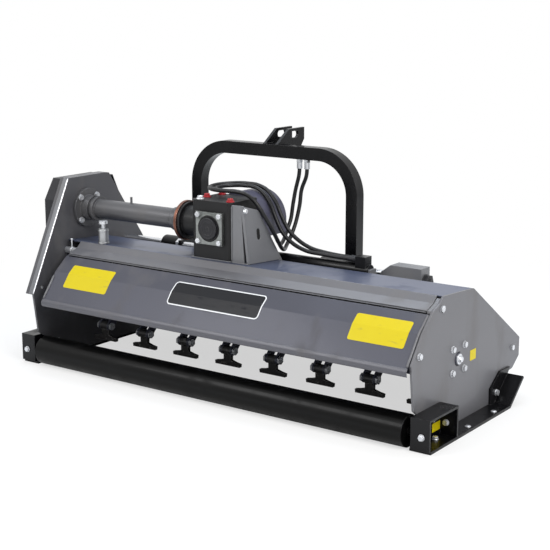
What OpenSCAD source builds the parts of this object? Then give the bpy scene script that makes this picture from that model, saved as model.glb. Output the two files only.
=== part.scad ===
// Flail mower with a side-shift headstock, a belt-driven hammer rotor and a rear roller.
// X runs along the working width, +Y towards the tractor, +Z up; the skids stand on Z = 0.

/* [Deck] */
// Width over the outer edges of the two skids
skid_span = 1896; // [1700:4:2200]
// How far the belt guard stands out past the left skid
guard_out = 56; // [50:1:70]
// Depth of the end plates from rear edge to front edge
deck_depth = 821; // [810:1:840]
// Height of the rear edge of the top panel
deck_h = 487; // [482:1:492]
// Height of the tall left end plate above the deck
case_lift = 253; // [248:1:270]
// Thickness of the end plates
plate_t = 8; // [6:1:10]
// Thickness of the bent deck panels
sheet_t = 5; // [4:1:6]
// Width of the flange bent out of the left end plate
rim_w = 37; // [30:1:45]
// Thickness of the belt guard's wall
guard_t = 4; // [3:1:5]
// Thickness of the rubber curtain
curtain_t = 6; // [4:1:7]
// Diameter of the rod that holds the curtain
curtain_rod_d = 12; // [10:1:14]

/* [Hood] */
// Thickness of the hood panel
hood_t = 4; // [3:1:5]
// Thickness of the hood's end ears
ear_t = 8; // [6:1:10]
// Gap between the hood and the right end plate
hood_gap = 6; // [4:1:8]
// Gap between the hood and the left end plate
hood_left_gap = 59; // [50:1:70]
// Diameter of the hood pivots
pivot_d = 16; // [14:1:18]

/* [Skids and roller] */
// Width of a skid outside its end plate
skid_w = 72; // [66:1:80]
// Thickness of the skid soles
sole_t = 10; // [8:1:12]
// Depth of a roller bracket
bracket_d = 200; // [190:1:210]
// Height of a roller bracket's top
bracket_h = 120; // [112:1:126]
// Wall of the brackets and skid webs
bracket_t = 8; // [6:1:10]
// Diameter of the rear roller
roller_d = 114; // [110:1:114]
// Height of the roller's axis
roller_h = 58; // [58:1:62]
// Distance from the end plates' rear edge to the roller's axis
roller_set = 37; // [34:1:40]
// Diameter of the roller's stub axles
axle_d = 30; // [24:1:34]
// Gap between the roller and each end plate
roller_gap = 16; // [10:1:24]

/* [Rotor] */
// Diameter of the rotor drum
drum_d = 168; // [160:1:170]
// Wall of the rotor drum
drum_wall = 10; // [8:1:14]
// Diameter of the rotor's stub shafts
stub_d = 45; // [40:1:50]
// Gap between the drum and each end plate
drum_gap = 46; // [44:1:56]
// Radius of the circle of flail bolts
bolt_circle_r = 140; // [138:1:142]
// Length of a flail from its bolt to its tip
flail_len = 60; // [56:1:62]
// Width of a flail's cutting edge
flail_w = 120; // [110:1:126]
// Thickness of a flail's blade
flail_t = 14; // [10:1:16]
// Width of a flail's eye
eye_w = 36; // [32:1:40]
// Diameter of a flail's eye
eye_d = 34; // [32:1:36]
// Diameter of the flail bolts
flail_bolt_d = 20; // [16:1:22]
// Thickness of the lug plates
lug_t = 8; // [6:1:10]
// Gap between the end flails and the end plates
side_gap = 13; // [12:1:20]

/* [Drive] */
// Distance of the input shaft to the left of the deck's middle
pto_off = 135; // [125:1:145]
// Height of the gearbox shafts above the deck
drive_lift = 121; // [117:1:125]
// Width of the gearbox
gearbox_w = 190; // [184:1:196]
// Depth of the gearbox
gearbox_d = 180; // [176:1:184]
// Height of the gearbox
gearbox_h = 222; // [216:1:228]
// Height of the gearbox's foot above the deck's rear edge
gearbox_lift = 3; // [3:1:7]
// Wall of the gearbox
gearbox_t = 12; // [10:1:14]
// Width of the square rear cover
cover_w = 124; // [116:1:132]
// Diameter of the drive tube
tube_d = 80; // [76:1:84]
// Diameter of the clamp ring
ring_d = 158; // [150:1:164]
// Thickness of the clamp ring
ring_t = 12; // [10:1:16]
// Diameter of the drive and input shafts
shaft_d = 35; // [34:1:36]
// Diameter of the upper pulley
top_pulley_d = 184; // [176:1:188]
// Diameter of the rotor pulley
low_pulley_d = 136; // [128:1:144]
// Width of one belt
belt_w = 16; // [14:1:17]
// Radius of the shaft guard
shield_r = 117; // [112:1:120]
// Length of the shaft guard
shield_len = 153; // [140:1:160]
// Depth of the straight sides under the shaft guard's arch
skirt_h = 50; // [40:1:52]

/* [Headstock] */
// Side of the square tube
tube_w = 50; // [46:1:54]
// Wall of the square tube
tube_t = 5; // [4:1:7]
// Distance between the middles of the two legs
frame_w = 766; // [756:1:776]
// Height of the headstock's top above the deck
frame_lift = 403; // [375:1:430]
// Bend radius at the middle of the tube
bend_r = 155; // [140:1:170]
// Thickness of the hitch cheeks
cheek_t = 15; // [12:1:18]
// Radius of the cheek's nose around a hitch pin
nose_r = 45; // [42:1:50]
// Diameter of the hitch pins
hitch_d = 28; // [22:1:32]
// Length of a hitch pin
hitch_len = 120; // [100:1:130]
// Thickness of the top-link lugs
lug_plate_t = 12; // [10:1:15]
// Distance between the middles of the two top-link lugs
lug_span = 60; // [56:1:70]
// Length of the slots in the top-link lugs
slot_l = 60; // [50:1:64]
// Height of the slots in the top-link lugs
slot_h = 27; // [24:1:28]

/* [Side shift] */
// Diameter of the upper guide bar
bar_d = 40; // [36:1:42]
// Diameter of the lower guide bar
low_bar_d = 36; // [32:1:40]
// Outer diameter of the upper sleeves
sleeve_d = 80; // [76:1:80]
// Outer diameter of the lower sleeves
low_sleeve_d = 72; // [66:1:76]
// Length of each sleeve
sleeve_len = 160; // [140:1:165]
// Diameter of the cylinder barrel
barrel_d = 50; // [46:1:52]
// Length of the cylinder barrel
barrel_len = 530; // [510:1:540]
// Diameter of the cylinder rod
rod_d = 25; // [22:1:28]
// Diameter of the hoses
hose_d = 16; // [14:1:17]
// Diameter of the plunger's body
plunger_d = 40; // [36:1:44]
// Height of the plunger's body
plunger_h = 62; // [56:1:68]

/* [Hidden] */
$fn = 48;
flail_n = 16;
belt_n = 3;
hose_rings = 40;
hose_sides = 8;
run_gap = 0.05;
cut = 20;

// Frame: the box around the machine is centred on X and Y.
deck_x = guard_out / 2;
right_out = deck_x + skid_span / 2;
right_face = right_out - skid_w;
right_in = right_face - plate_t;
left_face = 2 * deck_x - right_face;
left_in = left_face + plate_t;
inner_w = right_in - left_in;
pin_shares = [1.117, 0.61];
hitch_front = pin_shares[0] * deck_depth + nose_r;
rear_y = (roller_d / 2 - roller_set - hitch_front) / 2;
case_h = deck_h + case_lift;
drive_h = deck_h + drive_lift;
gearbox_z = deck_h + gearbox_lift;
frame_h = deck_h + frame_lift;
function dy(s) = rear_y + s * deck_depth;
function dz(s) = s * deck_h;
function yz(s) = [dy(s[0]), dz(s[1])];

// Bent sheet from its outer line: left of the line is plus.
function unit(v) = v / norm(v);
function normal(a, b) = [-unit(b - a)[1], unit(b - a)[0]];
function bend(n1, n2, t) = unit(n1 + n2) * t / (unit(n1 + n2) * n1);
function before(p, i) = normal(p[max(i - 1, 0)], p[max(i, 1)]);
function after(p, i) = normal(p[min(i, len(p) - 2)], p[min(i + 1, len(p) - 1)]);
function shifted(p, i, t) = p[i] + bend(before(p, i), after(p, i), t);
function sheet(p, t) = concat(p, [for (i = [len(p) - 1:-1:0]) shifted(p, i, t)]);
function panel(p, i, t) = [p[i], p[i + 1], shifted(p, i + 1, t), shifted(p, i, t)];
function ring_of(p, i) = p[(i + len(p)) % len(p)];
function corner(p, i, t) = p[i] + bend(normal(ring_of(p, i - 1), p[i]), normal(p[i], ring_of(p, i + 1)), t);
function inset(p, t) = [for (i = [0:len(p) - 1]) corner(p, i, t)];

// Deck outline, back to front
deck_shares = [[0.1693, 0.9199], [0.2229, 0.9528], [0.2534, 1], [0.5225, 0.9713], [1, 0.4353],
    [1, 0.2895], [0.9354, 0.2115]];
deck_pts = [for (s = deck_shares) yz(s)];
back = deck_pts[2];
ridge = deck_pts[3];
brow = deck_pts[4];
function top_z(y) = back[1] + (ridge[1] - back[1]) * (y - back[0]) / (ridge[0] - back[0]);
function slope_z(y) = ridge[1] + (brow[1] - ridge[1]) * (y - ridge[0]) / (brow[0] - ridge[0]);

// End plates stand on the skid soles.
skid_shares = [[0.0146, 0], [0.7455, 0], [0.8745, 0.1848]];
skid_pts = [for (s = skid_shares) yz(s)];
notch_share = 0.0804;
notch_h_share = 0.205;
heel_shares = [[0.0256, 0.2731], [0, 0.5996]];
low_pts = concat([for (i = [4:6]) deck_pts[i]], [shifted(skid_pts, 2, sole_t), shifted(skid_pts, 1, sole_t),
    [dy(notch_share), sole_t], [dy(notch_share), dz(notch_h_share)]], [for (s = heel_shares) yz(s)]);
fold_shares = [0.084, 0.7885];
case_shares = [[0.268, 1], [0.5408, 1], [0.5603, 0.996]];
case_pts = [for (s = case_shares) [dy(s[0]), s[1] * case_h]];
rim_pts = [yz(heel_shares[1]), case_pts[0], case_pts[1]];

// Rotor, bearings and flails
rotor_shares = [0.397, 0.497];
rotor = yz(rotor_shares);
drum_x = left_in + drum_gap;
drum_len = inner_w - 2 * drum_gap;
flail_pitch = (inner_w - flail_w - 2 * side_gap) / (flail_n - 1);
function flail_x(i) = left_in + side_gap + flail_w / 2 + i * flail_pitch;
function row_deg(i) = i % 2 == 0 ? 45 : -135;
function bolt_at(i) = rotor + bolt_circle_r * [cos(row_deg(i)), sin(row_deg(i))];
function flail_name(i) = str("flail_", i < 9 ? "0" : "", i + 1);
flail_shares = [[0.3, 0], [0.3, -0.62], [0.66, -0.72], [1, -0.78], [0.97, -1], [-0.97, -1], [-1, -0.78],
    [-0.66, -0.72], [-0.3, -0.62], [-0.3, 0]];
lug_gap = eye_w / 80;
lug_r = 0.9 * flail_bolt_d;
lug_base = 2 * lug_r;
flail_run = 0.005 * flail_bolt_d;
nut_d = 1.6 * flail_bolt_d;
nut_h = 0.5 * flail_bolt_d;
flange_w = 2.5 * stub_d;
flange_t = 0.31 * stub_d;
boss_d = 2 * stub_d;
boss_t = 0.5 * stub_d;
bolt_d = 0.27 * stub_d;
head_d = 1.8 * bolt_d;
head_h = 0.6 * bolt_d;
washer_d = 2.1 * bolt_d;
washer_t = 0.2 * bolt_d;
hole_gap = 0.03 * bolt_d;
bolt_share = 0.38;
bearing_bolts = [for (a = [-1, 1], b = [-1, 1]) rotor + bolt_share * flange_w * [a, b]];

// Hood
hinge_shares = [0.2412, 0.9158];
hinge = yz(hinge_shares);
hood_shares = [[0.162, 0.8973], [0.084, 0.7885], [-0.0183, 0.5626], [-0.0134, 0.5257]];
hood_pts = [for (s = hood_shares) yz(s)];
ear_shares = [[0.2412, 0.9487], [0.1644, 0.8953], [0.0865, 0.7864], [-0.0122, 0.5667], [0.0195, 0.5852],
    [0.1047, 0.7639], [0.1839, 0.8624], [0.2412, 0.883]];
ear_r = pivot_d;
hood_x = left_in + hood_left_gap;
hood_len = right_in - hood_gap - hood_x;
rail_gap = ear_t / 2;
catch_shares = [0.0585, 0.6448];

// Skids, brackets and roller
web_shares = [[0.7016, 0.0205], [0.7515, 0.0205], [0.866, 0.191], [0.8928, 0.2423], [0.7929, 0.2464],
    [0.7016, 0.1437]];
skid_bolt_shares = [0.755, 0.0945];
bracket_y = dy(0.0024);
bracket_bolt_shares = [[0.162, 0.1622], [0.1047, 0.0945]];
roller = [rear_y + roller_set, roller_h];
collar_t = 0.4 * axle_d;

// Curtain
rod_shares = [0.9245, 0.3799];
rod_at = yz(rod_shares);
hem_d = 1.9 * curtain_rod_d;
curtain_z = dz(0.0513);
strip_n = 14;
slit_w = curtain_t / 3;

// Gearbox and drive
pto_x = deck_x - pto_off;
drive_y = dy(0.3886);
gearbox_x = pto_x - gearbox_w / 2;
gearbox_y = drive_y - gearbox_d / 2;
gearbox_top = gearbox_z + gearbox_h;
chamfer = gearbox_w / 14;
bearing_d = 2 * shaft_d;
neck_d = 0.76 * ring_d;
neck_len = 0.46 * gearbox_w;
neck_x = gearbox_x - neck_len;
neck_flange_t = ring_t;
ring_x = neck_x - ring_t;
cover_t = gearbox_t;
cap_t = 0.7 * cover_t;
cap_d = 0.66 * cover_w;
cover_bolt = 0.41 * cover_w;
gear_r = 0.34 * gearbox_w;
gear_in = gear_r / 3;
gear_t = gear_r / 4;
gear_gap = gear_r / 80;
hub_share = 0.55;
tube_bore = 0.8 * tube_d;
flange_d = 2 * tube_d;
tube_flange_t = 0.175 * tube_d;
tube_bolt_r = 0.83 * tube_d;
collar_d = 1.3 * tube_d;
collar_len = 0.64 * tube_d;
bearing_t = 0.3 * tube_d;
breather_d = 0.12 * tube_d;
plug_d = 0.13 * gearbox_w;
plug_t = 0.07 * gearbox_w;
plug_shares = [[-0.33, -0.4], [0.4, -0.36], [-0.36, 0.38], [-0.4, -0.08]];
spline_n = 6;
spline_w = 0.25 * shaft_d;
spline_t = 0.1 * shaft_d;
spline_len = 2 * shaft_d;
shaft_tip = drive_y + gearbox_d / 2 + 0.88 * shield_len;

// Belts run in square grooves of the two pulleys.
belt_h = 0.7 * belt_w;
belt_pitch = 1.25 * belt_w;
belt_gap = 0.03 * belt_w;
pulley_w = belt_n * belt_pitch + (belt_pitch - belt_w);
pulley_x = left_face - pulley_w - belt_w;
groove_depth = 0.8 * belt_h;
guard_low = rotor[1] - 0.715 * low_pulley_d;
guard_shares = [0.26, 0.306, 0.324, 0.488, 0.549, 0.598, 0.647];
guard_ys = [for (s = guard_shares) dy(s)];
guard_tops = [0.98 * case_h, 0.865 * case_h];
guard_pts = [[guard_ys[2], guard_tops[0]], [guard_ys[5], guard_tops[0]], [guard_ys[6], guard_tops[1]],
    [guard_ys[4], rotor[1]], [guard_ys[3], guard_low], [guard_ys[1], guard_low], [guard_ys[0], rotor[1]],
    [guard_ys[0], guard_tops[1]]];
guard_depth = left_face + right_out;

// Gearbox support
support_t = 0.042 * gearbox_w;
support_x = gearbox_x + gearbox_w;
support_y = dy(0.2887);
support_top = gearbox_top - plate_t;
support_lip = 0.274 * gearbox_w;
support_foot = 0.42 * gearbox_w;
support_fold = [dy(0.4044), 0.9535 * gearbox_top];
support_toe = [dy(0.5627), slope_z(dy(0.5627))];
support_base = top_z(support_y);
support_tilt = atan2(support_foot - support_lip, support_top - support_base);
support_lip_w = 0.8 * support_lip;
lip_end_share = 0.9;
support_edge = [support_fold, support_fold + lip_end_share * (support_toe - support_fold)];
support_hole = [dy(0.3886), 0.8118 * gearbox_top];
support_hole_d = 0.116 * gearbox_w;
notch_end_share = 0.88;
support_notch = 0.07 * gearbox_w;
notch_x = support_x + support_foot - 1.2 * support_t;
notch_run = notch_end_share * (support_top - support_base);
shield_t = 0.035 * shield_r;
shield_rim = 0.8 * shield_r;

// Headstock
leg_y = dy(0.782);
bar_z = frame_h - tube_w / 2;
leg_z = dz(0.8);
cheek_shares = [[0.69, 0.8], [0.7515, 0.875], [0.815, 0.85], [0.939, 0.795], [1.1365, 0.7044],
    [1.1657, 0.661], [1.172, 0.61], [1.1657, 0.558], [1.1365, 0.515], [1.0487, 0.47], [0.994, 0.493]];
cheek_x = pto_x + frame_w / 2 + tube_w / 2;
pin_at = yz(pin_shares);
pin_collar_d = 1.7 * hitch_d;
pin_collar_t = 0.4 * hitch_d;
lug_shares = [[0, 0.457], [0.434, 1], [1, 1], [1, 0.55], [0.757, 0], [0.286, 0], [0.286, 0.457]];
lug_len = 3.78 * tube_w;
lug_h = 2.1 * tube_w;
lug_y = leg_y + tube_w / 2 - 0.286 * lug_len;
lug_z = frame_h - 0.457 * lug_h;
slot_at = [lug_y + 0.62 * lug_len, lug_z + 0.77 * lug_h];

// Guide bars, sleeves and shift cylinder
bar_shares = [0.7028, 0.8932];
low_bar_shares = [0.9769, 0.616];
bar_at = yz(bar_shares);
low_bar_at = yz(low_bar_shares);
left_sleeve_x = pto_x - frame_w / 2 - 0.85 * sleeve_len;
right_sleeve_x = cheek_x + cheek_t - 0.9 * sleeve_len;
saddle_x = 0.506 * right_face;
saddle_len = 4.3 * bar_d;
saddle_y = bar_at[0] - 0.8 * bar_d;
saddle_w = 1.6 * bar_d;
saddle_top = bar_at[1] + 1.25 * bar_d;
bar_end = saddle_x + saddle_len + bar_d / 20;
low_bracket_t = low_bar_d / 3;
low_bracket_shares = [[0.927, 1], [0.9995, 1], [1.03, 0.48], [1.02, 0.69], [0.977, 0.705], [0.935, 0.66]];
low_bracket_pts = [for (i = [0:5]) [dy(low_bracket_shares[i][0]),
    i < 2 ? slope_z(dy(low_bracket_shares[i][0])) : dz(low_bracket_shares[i][1])]];
low_bar_end = saddle_x + saddle_len;
barrel_shares = [0.6066, 0.9487];
barrel_at = yz(barrel_shares);
barrel_end = 0.487 * right_face;
barrel_x = barrel_end - barrel_len;
barrel_bore = 0.8 * barrel_d;
gland_t = 0.6 * rod_d;
piston_x = barrel_x + 0.55 * barrel_len;
anchor_t = 0.25 * barrel_d;
anchor_w = 0.8 * barrel_d;
anchor_top = barrel_at[1] + 0.2 * barrel_d;
rod_end = left_sleeve_x + 0.92 * sleeve_len;
rod_lug_t = 0.5 * rod_d;
rod_lug_shares = [[0.585, 0.921], [0.585, 0.986], [0.647, 0.996], [0.7, 0.975], [0.66, 0.915]];
rod_nut_d = 1.8 * rod_d;
rod_nut_h = 0.6 * rod_d;
block_l = 0.9 * barrel_d;
block_w = 0.9 * barrel_d;
block_x = barrel_end - 1.1 * barrel_d;
block_top = barrel_at[1] + 1.1 * barrel_d;
plug_z = barrel_at[1] + 0.82 * barrel_d;
hose_gap = 0.44 * barrel_d;
ferrule_d = 1.4 * hose_d;
fitting_len = 2.2 * hose_d;
coupler_nut_h = 0.8 * hose_d;
coupler_len = 2.4 * hose_d;
coupler_z = frame_h - tube_w - coupler_len;
coupler_x = pto_x + 0.371 * frame_w / 2;
coupler_gap = 2.25 * hose_d;

// Hose routes above the deck: inlet at the coupler, outlet at the port block, with a turn over the gearbox
hose_a_mid = [[13, 171, 281], [-1, 169, 226], [-7, 160, 168], [-7, 146, 113], [-6, 118, 71],
    [8, 76, 41], [26, 30, 33], [44, -12, 49], [54, -46, 81], [52, -76, 125], [38, -102, 170],
    [22, -115, 203], [0, -124, 230], [-32, -130, 247], [-72, -133, 252], [-104, -134, 251],
    [-132, -134, 250], [-160, -128, 249], [-184, -112, 249], [-200, -88, 249], [-206, -60, 249],
    [-200, -32, 250], [-184, -8, 250], [-160, 8, 251], [-132, 14, 251], [-92, 14, 250],
    [-46, 8, 235], [-4, 0, 197], [28, -8, 143], [60, -6, 87], [104, 4, 46], [162, 12, 23],
    [225, 16, 18], [290, 16, 16]];
hose_b_mid = [[48, 171, 281], [28, 169, 229], [24, 162, 168], [20, 142, 103], [20, 110, 54],
    [30, 64, 23], [54, 16, 17], [74, -32, 33], [82, -70, 69], [75, -100, 119], [60, -122, 165],
    [46, -134, 197], [24, -145, 228], [-8, -152, 249], [-52, -156, 255], [-94, -157, 254],
    [-132, -156, 253], [-169, -149, 253], [-200, -128, 253], [-221, -97, 253], [-228, -60, 254],
    [-221, -23, 255], [-200, 8, 256], [-169, 29, 257], [-132, 36, 257], [-90, 36, 255],
    [-40, 30, 240], [6, 20, 203], [40, 14, 149], [74, 16, 95], [116, 26, 56], [168, 34, 31],
    [228, 38, 21], [292, 38, 17]];
route_share = 1 / 1896;
unit_len = skid_span * route_share;
function coupler_at(k) = [coupler_x + (k - 0.5) * coupler_gap, leg_y, coupler_z];
function port_at(k) = [block_x - fitting_len, barrel_at[0] + (k - 0.5) * hose_gap, plug_z];
function scaled(p) = [for (q = p) q * unit_len + [0, 0, deck_h]];
function route(mid, k) = concat([coupler_at(k)], scaled(mid), [port_at(k)]);
function at(p, i) = p[min(max(i, 0), len(p) - 1)];
function spline(a, b, c, d, t) = 0.5 * (2 * b + (c - a) * t + (2 * a - 5 * b + 4 * c - d) * t * t
    + (3 * b - a - 3 * c + d) * t * t * t);
function along(p, u) = let (i = min(floor(u), len(p) - 2))
    spline(at(p, i - 1), p[i], p[i + 1], at(p, i + 2), u - i);
function line_of(p) = [for (k = [0:hose_rings - 1]) along(p, k * (len(p) - 1) / (hose_rings - 1))];
function way(q, k) = k == 0 ? [0, 0, -1] : k == len(q) - 1 ? [1, 0, 0] : unit(q[k + 1] - q[k - 1]);
function carry(v, w) = unit(v - w * (v * w));
function sides(q, k, v) = k == len(q) ? [] : let (n = carry(v, way(q, k))) concat([n], sides(q, k + 1, n));
function hose_pts(q, ns) = [for (k = [0:len(q) - 1], j = [0:hose_sides - 1])
    let (a = 360 * j / hose_sides) q[k] + hose_d / 2 * (ns[k] * cos(a) + cross(way(q, k), ns[k]) * sin(a))];
function hose_quads(m) = [for (k = [0:m - 2], j = [0:hose_sides - 1]) let (e = (j + 1) % hose_sides)
    [k * hose_sides + j, (k + 1) * hose_sides + j, (k + 1) * hose_sides + e, k * hose_sides + e]];
function hose_faces(m) = concat(hose_quads(m), [[for (j = [0:hose_sides - 1]) j]],
    [[for (j = [hose_sides - 1:-1:0]) (m - 1) * hose_sides + j]]);

// Plunger
plunger_x = 0.79 * left_in;
plunger_y = dy(0.28);
plunger_pin_d = 0.4 * plunger_d;
plunger_z = top_z(plunger_y - plunger_d / 2);
plunger_cap_t = 0.3 * plunger_d;
plunger_top = plunger_z + 1.5 * plunger_h;

module bar_x(x, l, d, p) {
    translate([x, p[0], p[1]]) rotate([0, 90, 0]) cylinder(d = d, h = l);
}

module bar_y(x, y, z, l, d) {
    translate([x, y, z]) rotate([-90, 0, 0]) cylinder(d = d, h = l);
}

module plate_x(x, t, pts) {
    translate([x, 0, 0]) rotate([90, 0, 90]) linear_extrude(height = t) polygon(pts);
}

module both_ends() {
    children();
    translate([2 * deck_x, 0, 0]) mirror([1, 0, 0]) children();
}

module hex_x(x, l, d, p) {
    translate([x, p[0], p[1]]) rotate([0, 90, 0]) cylinder(d = d, h = l, $fn = 6);
}

module bolt_x(x, p, grip) {
    bar_x(x - grip, grip, bolt_d, p);
    bar_x(x, washer_t, washer_d, p);
    hex_x(x + washer_t, head_h, head_d, p);
}

// Deck panels
module top_panel() {
    color("#7f8088") plate_x(left_in, inner_w, panel(deck_pts, 2, -sheet_t));
}

module front_panel() {
    color("#6f7078") plate_x(left_in, inner_w, panel(deck_pts, 3, -sheet_t));
}

module front_beam() {
    color("#6f7078") {
        plate_x(left_in, inner_w, panel(deck_pts, 4, -sheet_t));
        plate_x(left_in, inner_w, panel(deck_pts, 5, -sheet_t));
    }
}

module hinge_rail() {
    color("#7a7a7c") {
        plate_x(hood_x + ear_t + rail_gap, hood_len - 2 * (ear_t + rail_gap), panel(deck_pts, 0, -sheet_t));
        plate_x(hood_x + ear_t + rail_gap, hood_len - 2 * (ear_t + rail_gap), panel(deck_pts, 1, -sheet_t));
    }
}

module plate_holes(x) {
    bar_x(x - cut, plate_t + 2 * cut, stub_d + 2 * washer_t, rotor);
    bar_x(x - cut, plate_t + 2 * cut, pivot_d, hinge);
    bar_x(x - cut, plate_t + 2 * cut, curtain_rod_d, rod_at);
    for (p = bearing_bolts)
        bar_x(x - cut, plate_t + 2 * cut, bolt_d + 2 * hole_gap, p);
    for (s = concat([skid_bolt_shares, catch_shares], bracket_bolt_shares))
        bar_x(x - cut, plate_t + 2 * cut, bolt_d + 2 * hole_gap, yz(s));
}

module right_end_plate() {
    color("#808084") difference() {
        plate_x(right_in, plate_t, concat(low_pts, [yz(fold_shares)], [for (i = [0:3]) deck_pts[i]]));
        plate_holes(right_in);
    }
}

module left_end_plate() {
    color("#77777b") {
        difference() {
            plate_x(left_face, plate_t, concat(low_pts, case_pts));
            plate_holes(left_face);
            bar_x(left_face - cut, plate_t + 2 * cut, bearing_d, [drive_y, drive_h]);
        }
        plate_x(left_face - rim_w, rim_w, sheet(rim_pts, -sheet_t));
    }
}

module belt_guard() {
    color("#26262a") difference() {
        plate_x(-right_out, guard_depth, guard_pts);
        plate_x(-right_out + guard_t, guard_depth, inset(guard_pts, -guard_t));
    }
}

module skids() {
    color("#1c1c1f") both_ends() {
        plate_x(right_in, plate_t + skid_w, sheet(skid_pts, sole_t));
        difference() {
            plate_x(right_face, bracket_t, [for (s = web_shares) yz(s)]);
            bar_x(right_face - cut, bracket_t + 2 * cut, bolt_d + 2 * hole_gap, yz(skid_bolt_shares));
        }
    }
}

module roller_brackets() {
    color("#1c1c1f") both_ends() difference() {
        translate([right_face, bracket_y, sole_t]) cube([skid_w, bracket_d, bracket_h - sole_t]);
        translate([right_face + bracket_t, bracket_y + bracket_t, 0])
            cube([skid_w, bracket_d - 2 * bracket_t, bracket_h - bracket_t]);
        bar_x(right_face - cut, bracket_t + 2 * cut, axle_d + 2 * run_gap, roller);
        for (s = bracket_bolt_shares)
            bar_x(right_face - cut, bracket_t + 2 * cut, bolt_d + 2 * hole_gap, yz(s));
    }
}

module front_curtain() {
    color("#18181a") difference() {
        union() {
            bar_x(left_in + curtain_t, inner_w - 2 * curtain_t, hem_d, rod_at);
            translate([left_in + curtain_t, rod_at[0] - curtain_t / 2, curtain_z])
                cube([inner_w - 2 * curtain_t, curtain_t, rod_at[1] - curtain_z]);
        }
        bar_x(left_in, inner_w, curtain_rod_d + 2 * run_gap, rod_at);
        for (i = [1:strip_n - 1])
            translate([left_in + i * inner_w / strip_n, rod_at[0] - cut, curtain_z - cut])
                cube([slit_w, 2 * cut, rod_at[1] - hem_d - curtain_z + cut]);
    }
}

module pivot_rods() {
    color("#b9bcc0") {
        bar_x(left_face, inner_w + 2 * plate_t, curtain_rod_d, rod_at);
        both_ends() hex_x(right_face, head_h, head_d, rod_at);
        bar_x(right_in - hood_gap - ear_t - rail_gap / 2, hood_gap + ear_t + rail_gap / 2 + plate_t,
            pivot_d, hinge);
        bar_x(left_face, plate_t + hood_left_gap + ear_t + rail_gap / 2, pivot_d, hinge);
        bar_x(left_in, hood_left_gap - rail_gap / 2, 1.75 * pivot_d, hinge);
        both_ends() hex_x(right_face, head_h, 1.6 * pivot_d, hinge);
    }
}

// Gearbox and drive line
module gearbox_block(x, y, w, d, c) {
    translate([x, y, 0]) linear_extrude(height = gearbox_h)
        polygon([[c, 0], [w - c, 0], [w, c], [w, d - c], [w - c, d], [c, d], [0, d - c], [0, c]]);
}

module gearbox_housing() {
    color("#1d1d20") difference() {
        union() {
            translate([0, 0, gearbox_z]) gearbox_block(gearbox_x, gearbox_y, gearbox_w, gearbox_d, chamfer);
            bar_x(neck_x, neck_len + chamfer, neck_d, [drive_y, drive_h]);
            bar_x(neck_x, neck_flange_t, 0.94 * ring_d, [drive_y, drive_h]);
        }
        translate([gearbox_x + gearbox_t, gearbox_y + gearbox_t, gearbox_z + gearbox_t])
            cube([gearbox_w - 2 * gearbox_t, gearbox_d - 2 * gearbox_t, gearbox_h - 2 * gearbox_t]);
        bar_x(neck_x - cut, neck_len + 2 * cut, bearing_d, [drive_y, drive_h]);
        bar_y(pto_x, gearbox_y - cut, drive_h, gearbox_d + 2 * cut, bearing_d);
    }
}

module gearbox_covers() {
    color("#8f9092") {
        difference() {
            translate([pto_x - cover_w / 2, gearbox_y - cover_t, drive_h - cover_w / 2])
                cube([cover_w, cover_t, cover_w]);
            for (a = [-1, 1], b = [-1, 1])
                bar_y(pto_x + a * cover_bolt, gearbox_y - cover_t - cut, drive_h + b * cover_bolt,
                    cover_t + 2 * cut, bolt_d + 2 * hole_gap);
        }
        bar_y(pto_x, gearbox_y - cover_t - cap_t, drive_h, cap_t, cap_d);
        difference() {
            bar_y(pto_x, gearbox_y + gearbox_d, drive_h, cover_t, 1.3 * bearing_d);
            bar_y(pto_x, gearbox_y + gearbox_d - cut, drive_h, cover_t + 2 * cut, shaft_d + 2 * washer_t);
        }
    }
}

module gearbox_plugs() {
    color("#a8232b") for (s = plug_shares)
        translate([pto_x + s[0] * gearbox_w, drive_y + s[1] * gearbox_d, gearbox_top]) {
            cylinder(d = 1.3 * plug_d, h = plug_t / 3);
            cylinder(d = plug_d, h = plug_t, $fn = 6);
        }
}

module gearbox_support() {
    color("#85868a") {
        plate_x(gearbox_x, gearbox_w - support_t / 4, [[gearbox_y, top_z(gearbox_y)],
            [gearbox_y + gearbox_d, top_z(gearbox_y + gearbox_d)], [gearbox_y + gearbox_d, gearbox_z],
            [gearbox_y, gearbox_z]]);
        translate([0, support_y + support_t, 0]) rotate([90, 0, 0]) linear_extrude(height = support_t)
            support_flange();
        translate([support_x + support_foot - 1.25 * support_t, 0, support_base])
            rotate([0, -support_tilt, 0]) translate([0, 0, -support_base]) support_web();
    }
}

module support_flange() {
    difference() {
        polygon([[support_x, support_base], [support_x + support_foot, support_base],
            [support_x + support_lip, support_top], [support_x, support_top]]);
        polygon([[notch_x - support_notch, support_base - cut], [notch_x, support_base - cut],
            [notch_x, support_base], [notch_x - notch_run * tan(support_tilt), support_base + notch_run],
            [notch_x - support_notch, support_base]]);
    }
}

module support_web() {
    difference() {
        plate_x(0, support_t, [[support_y + support_t / 2, support_base], ridge, support_toe, support_fold,
            [support_y + support_t / 2, support_top]]);
        bar_x(-cut, support_t + 2 * cut, support_hole_d, support_hole);
        bar_x(-cut, support_t + 2 * cut, support_hole_d, support_hole + [0, support_hole_d]);
        translate([-cut, support_hole[0] - support_hole_d / 2, support_hole[1]])
            cube([support_t + 2 * cut, support_hole_d, support_hole_d]);
    }
    plate_x(-support_lip_w, support_lip_w + support_t / 2, sheet(support_edge, -support_t));
}

module tube_ring(x, l, d) {
    bar_x(x, l, d, [drive_y, drive_h]);
}

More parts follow.
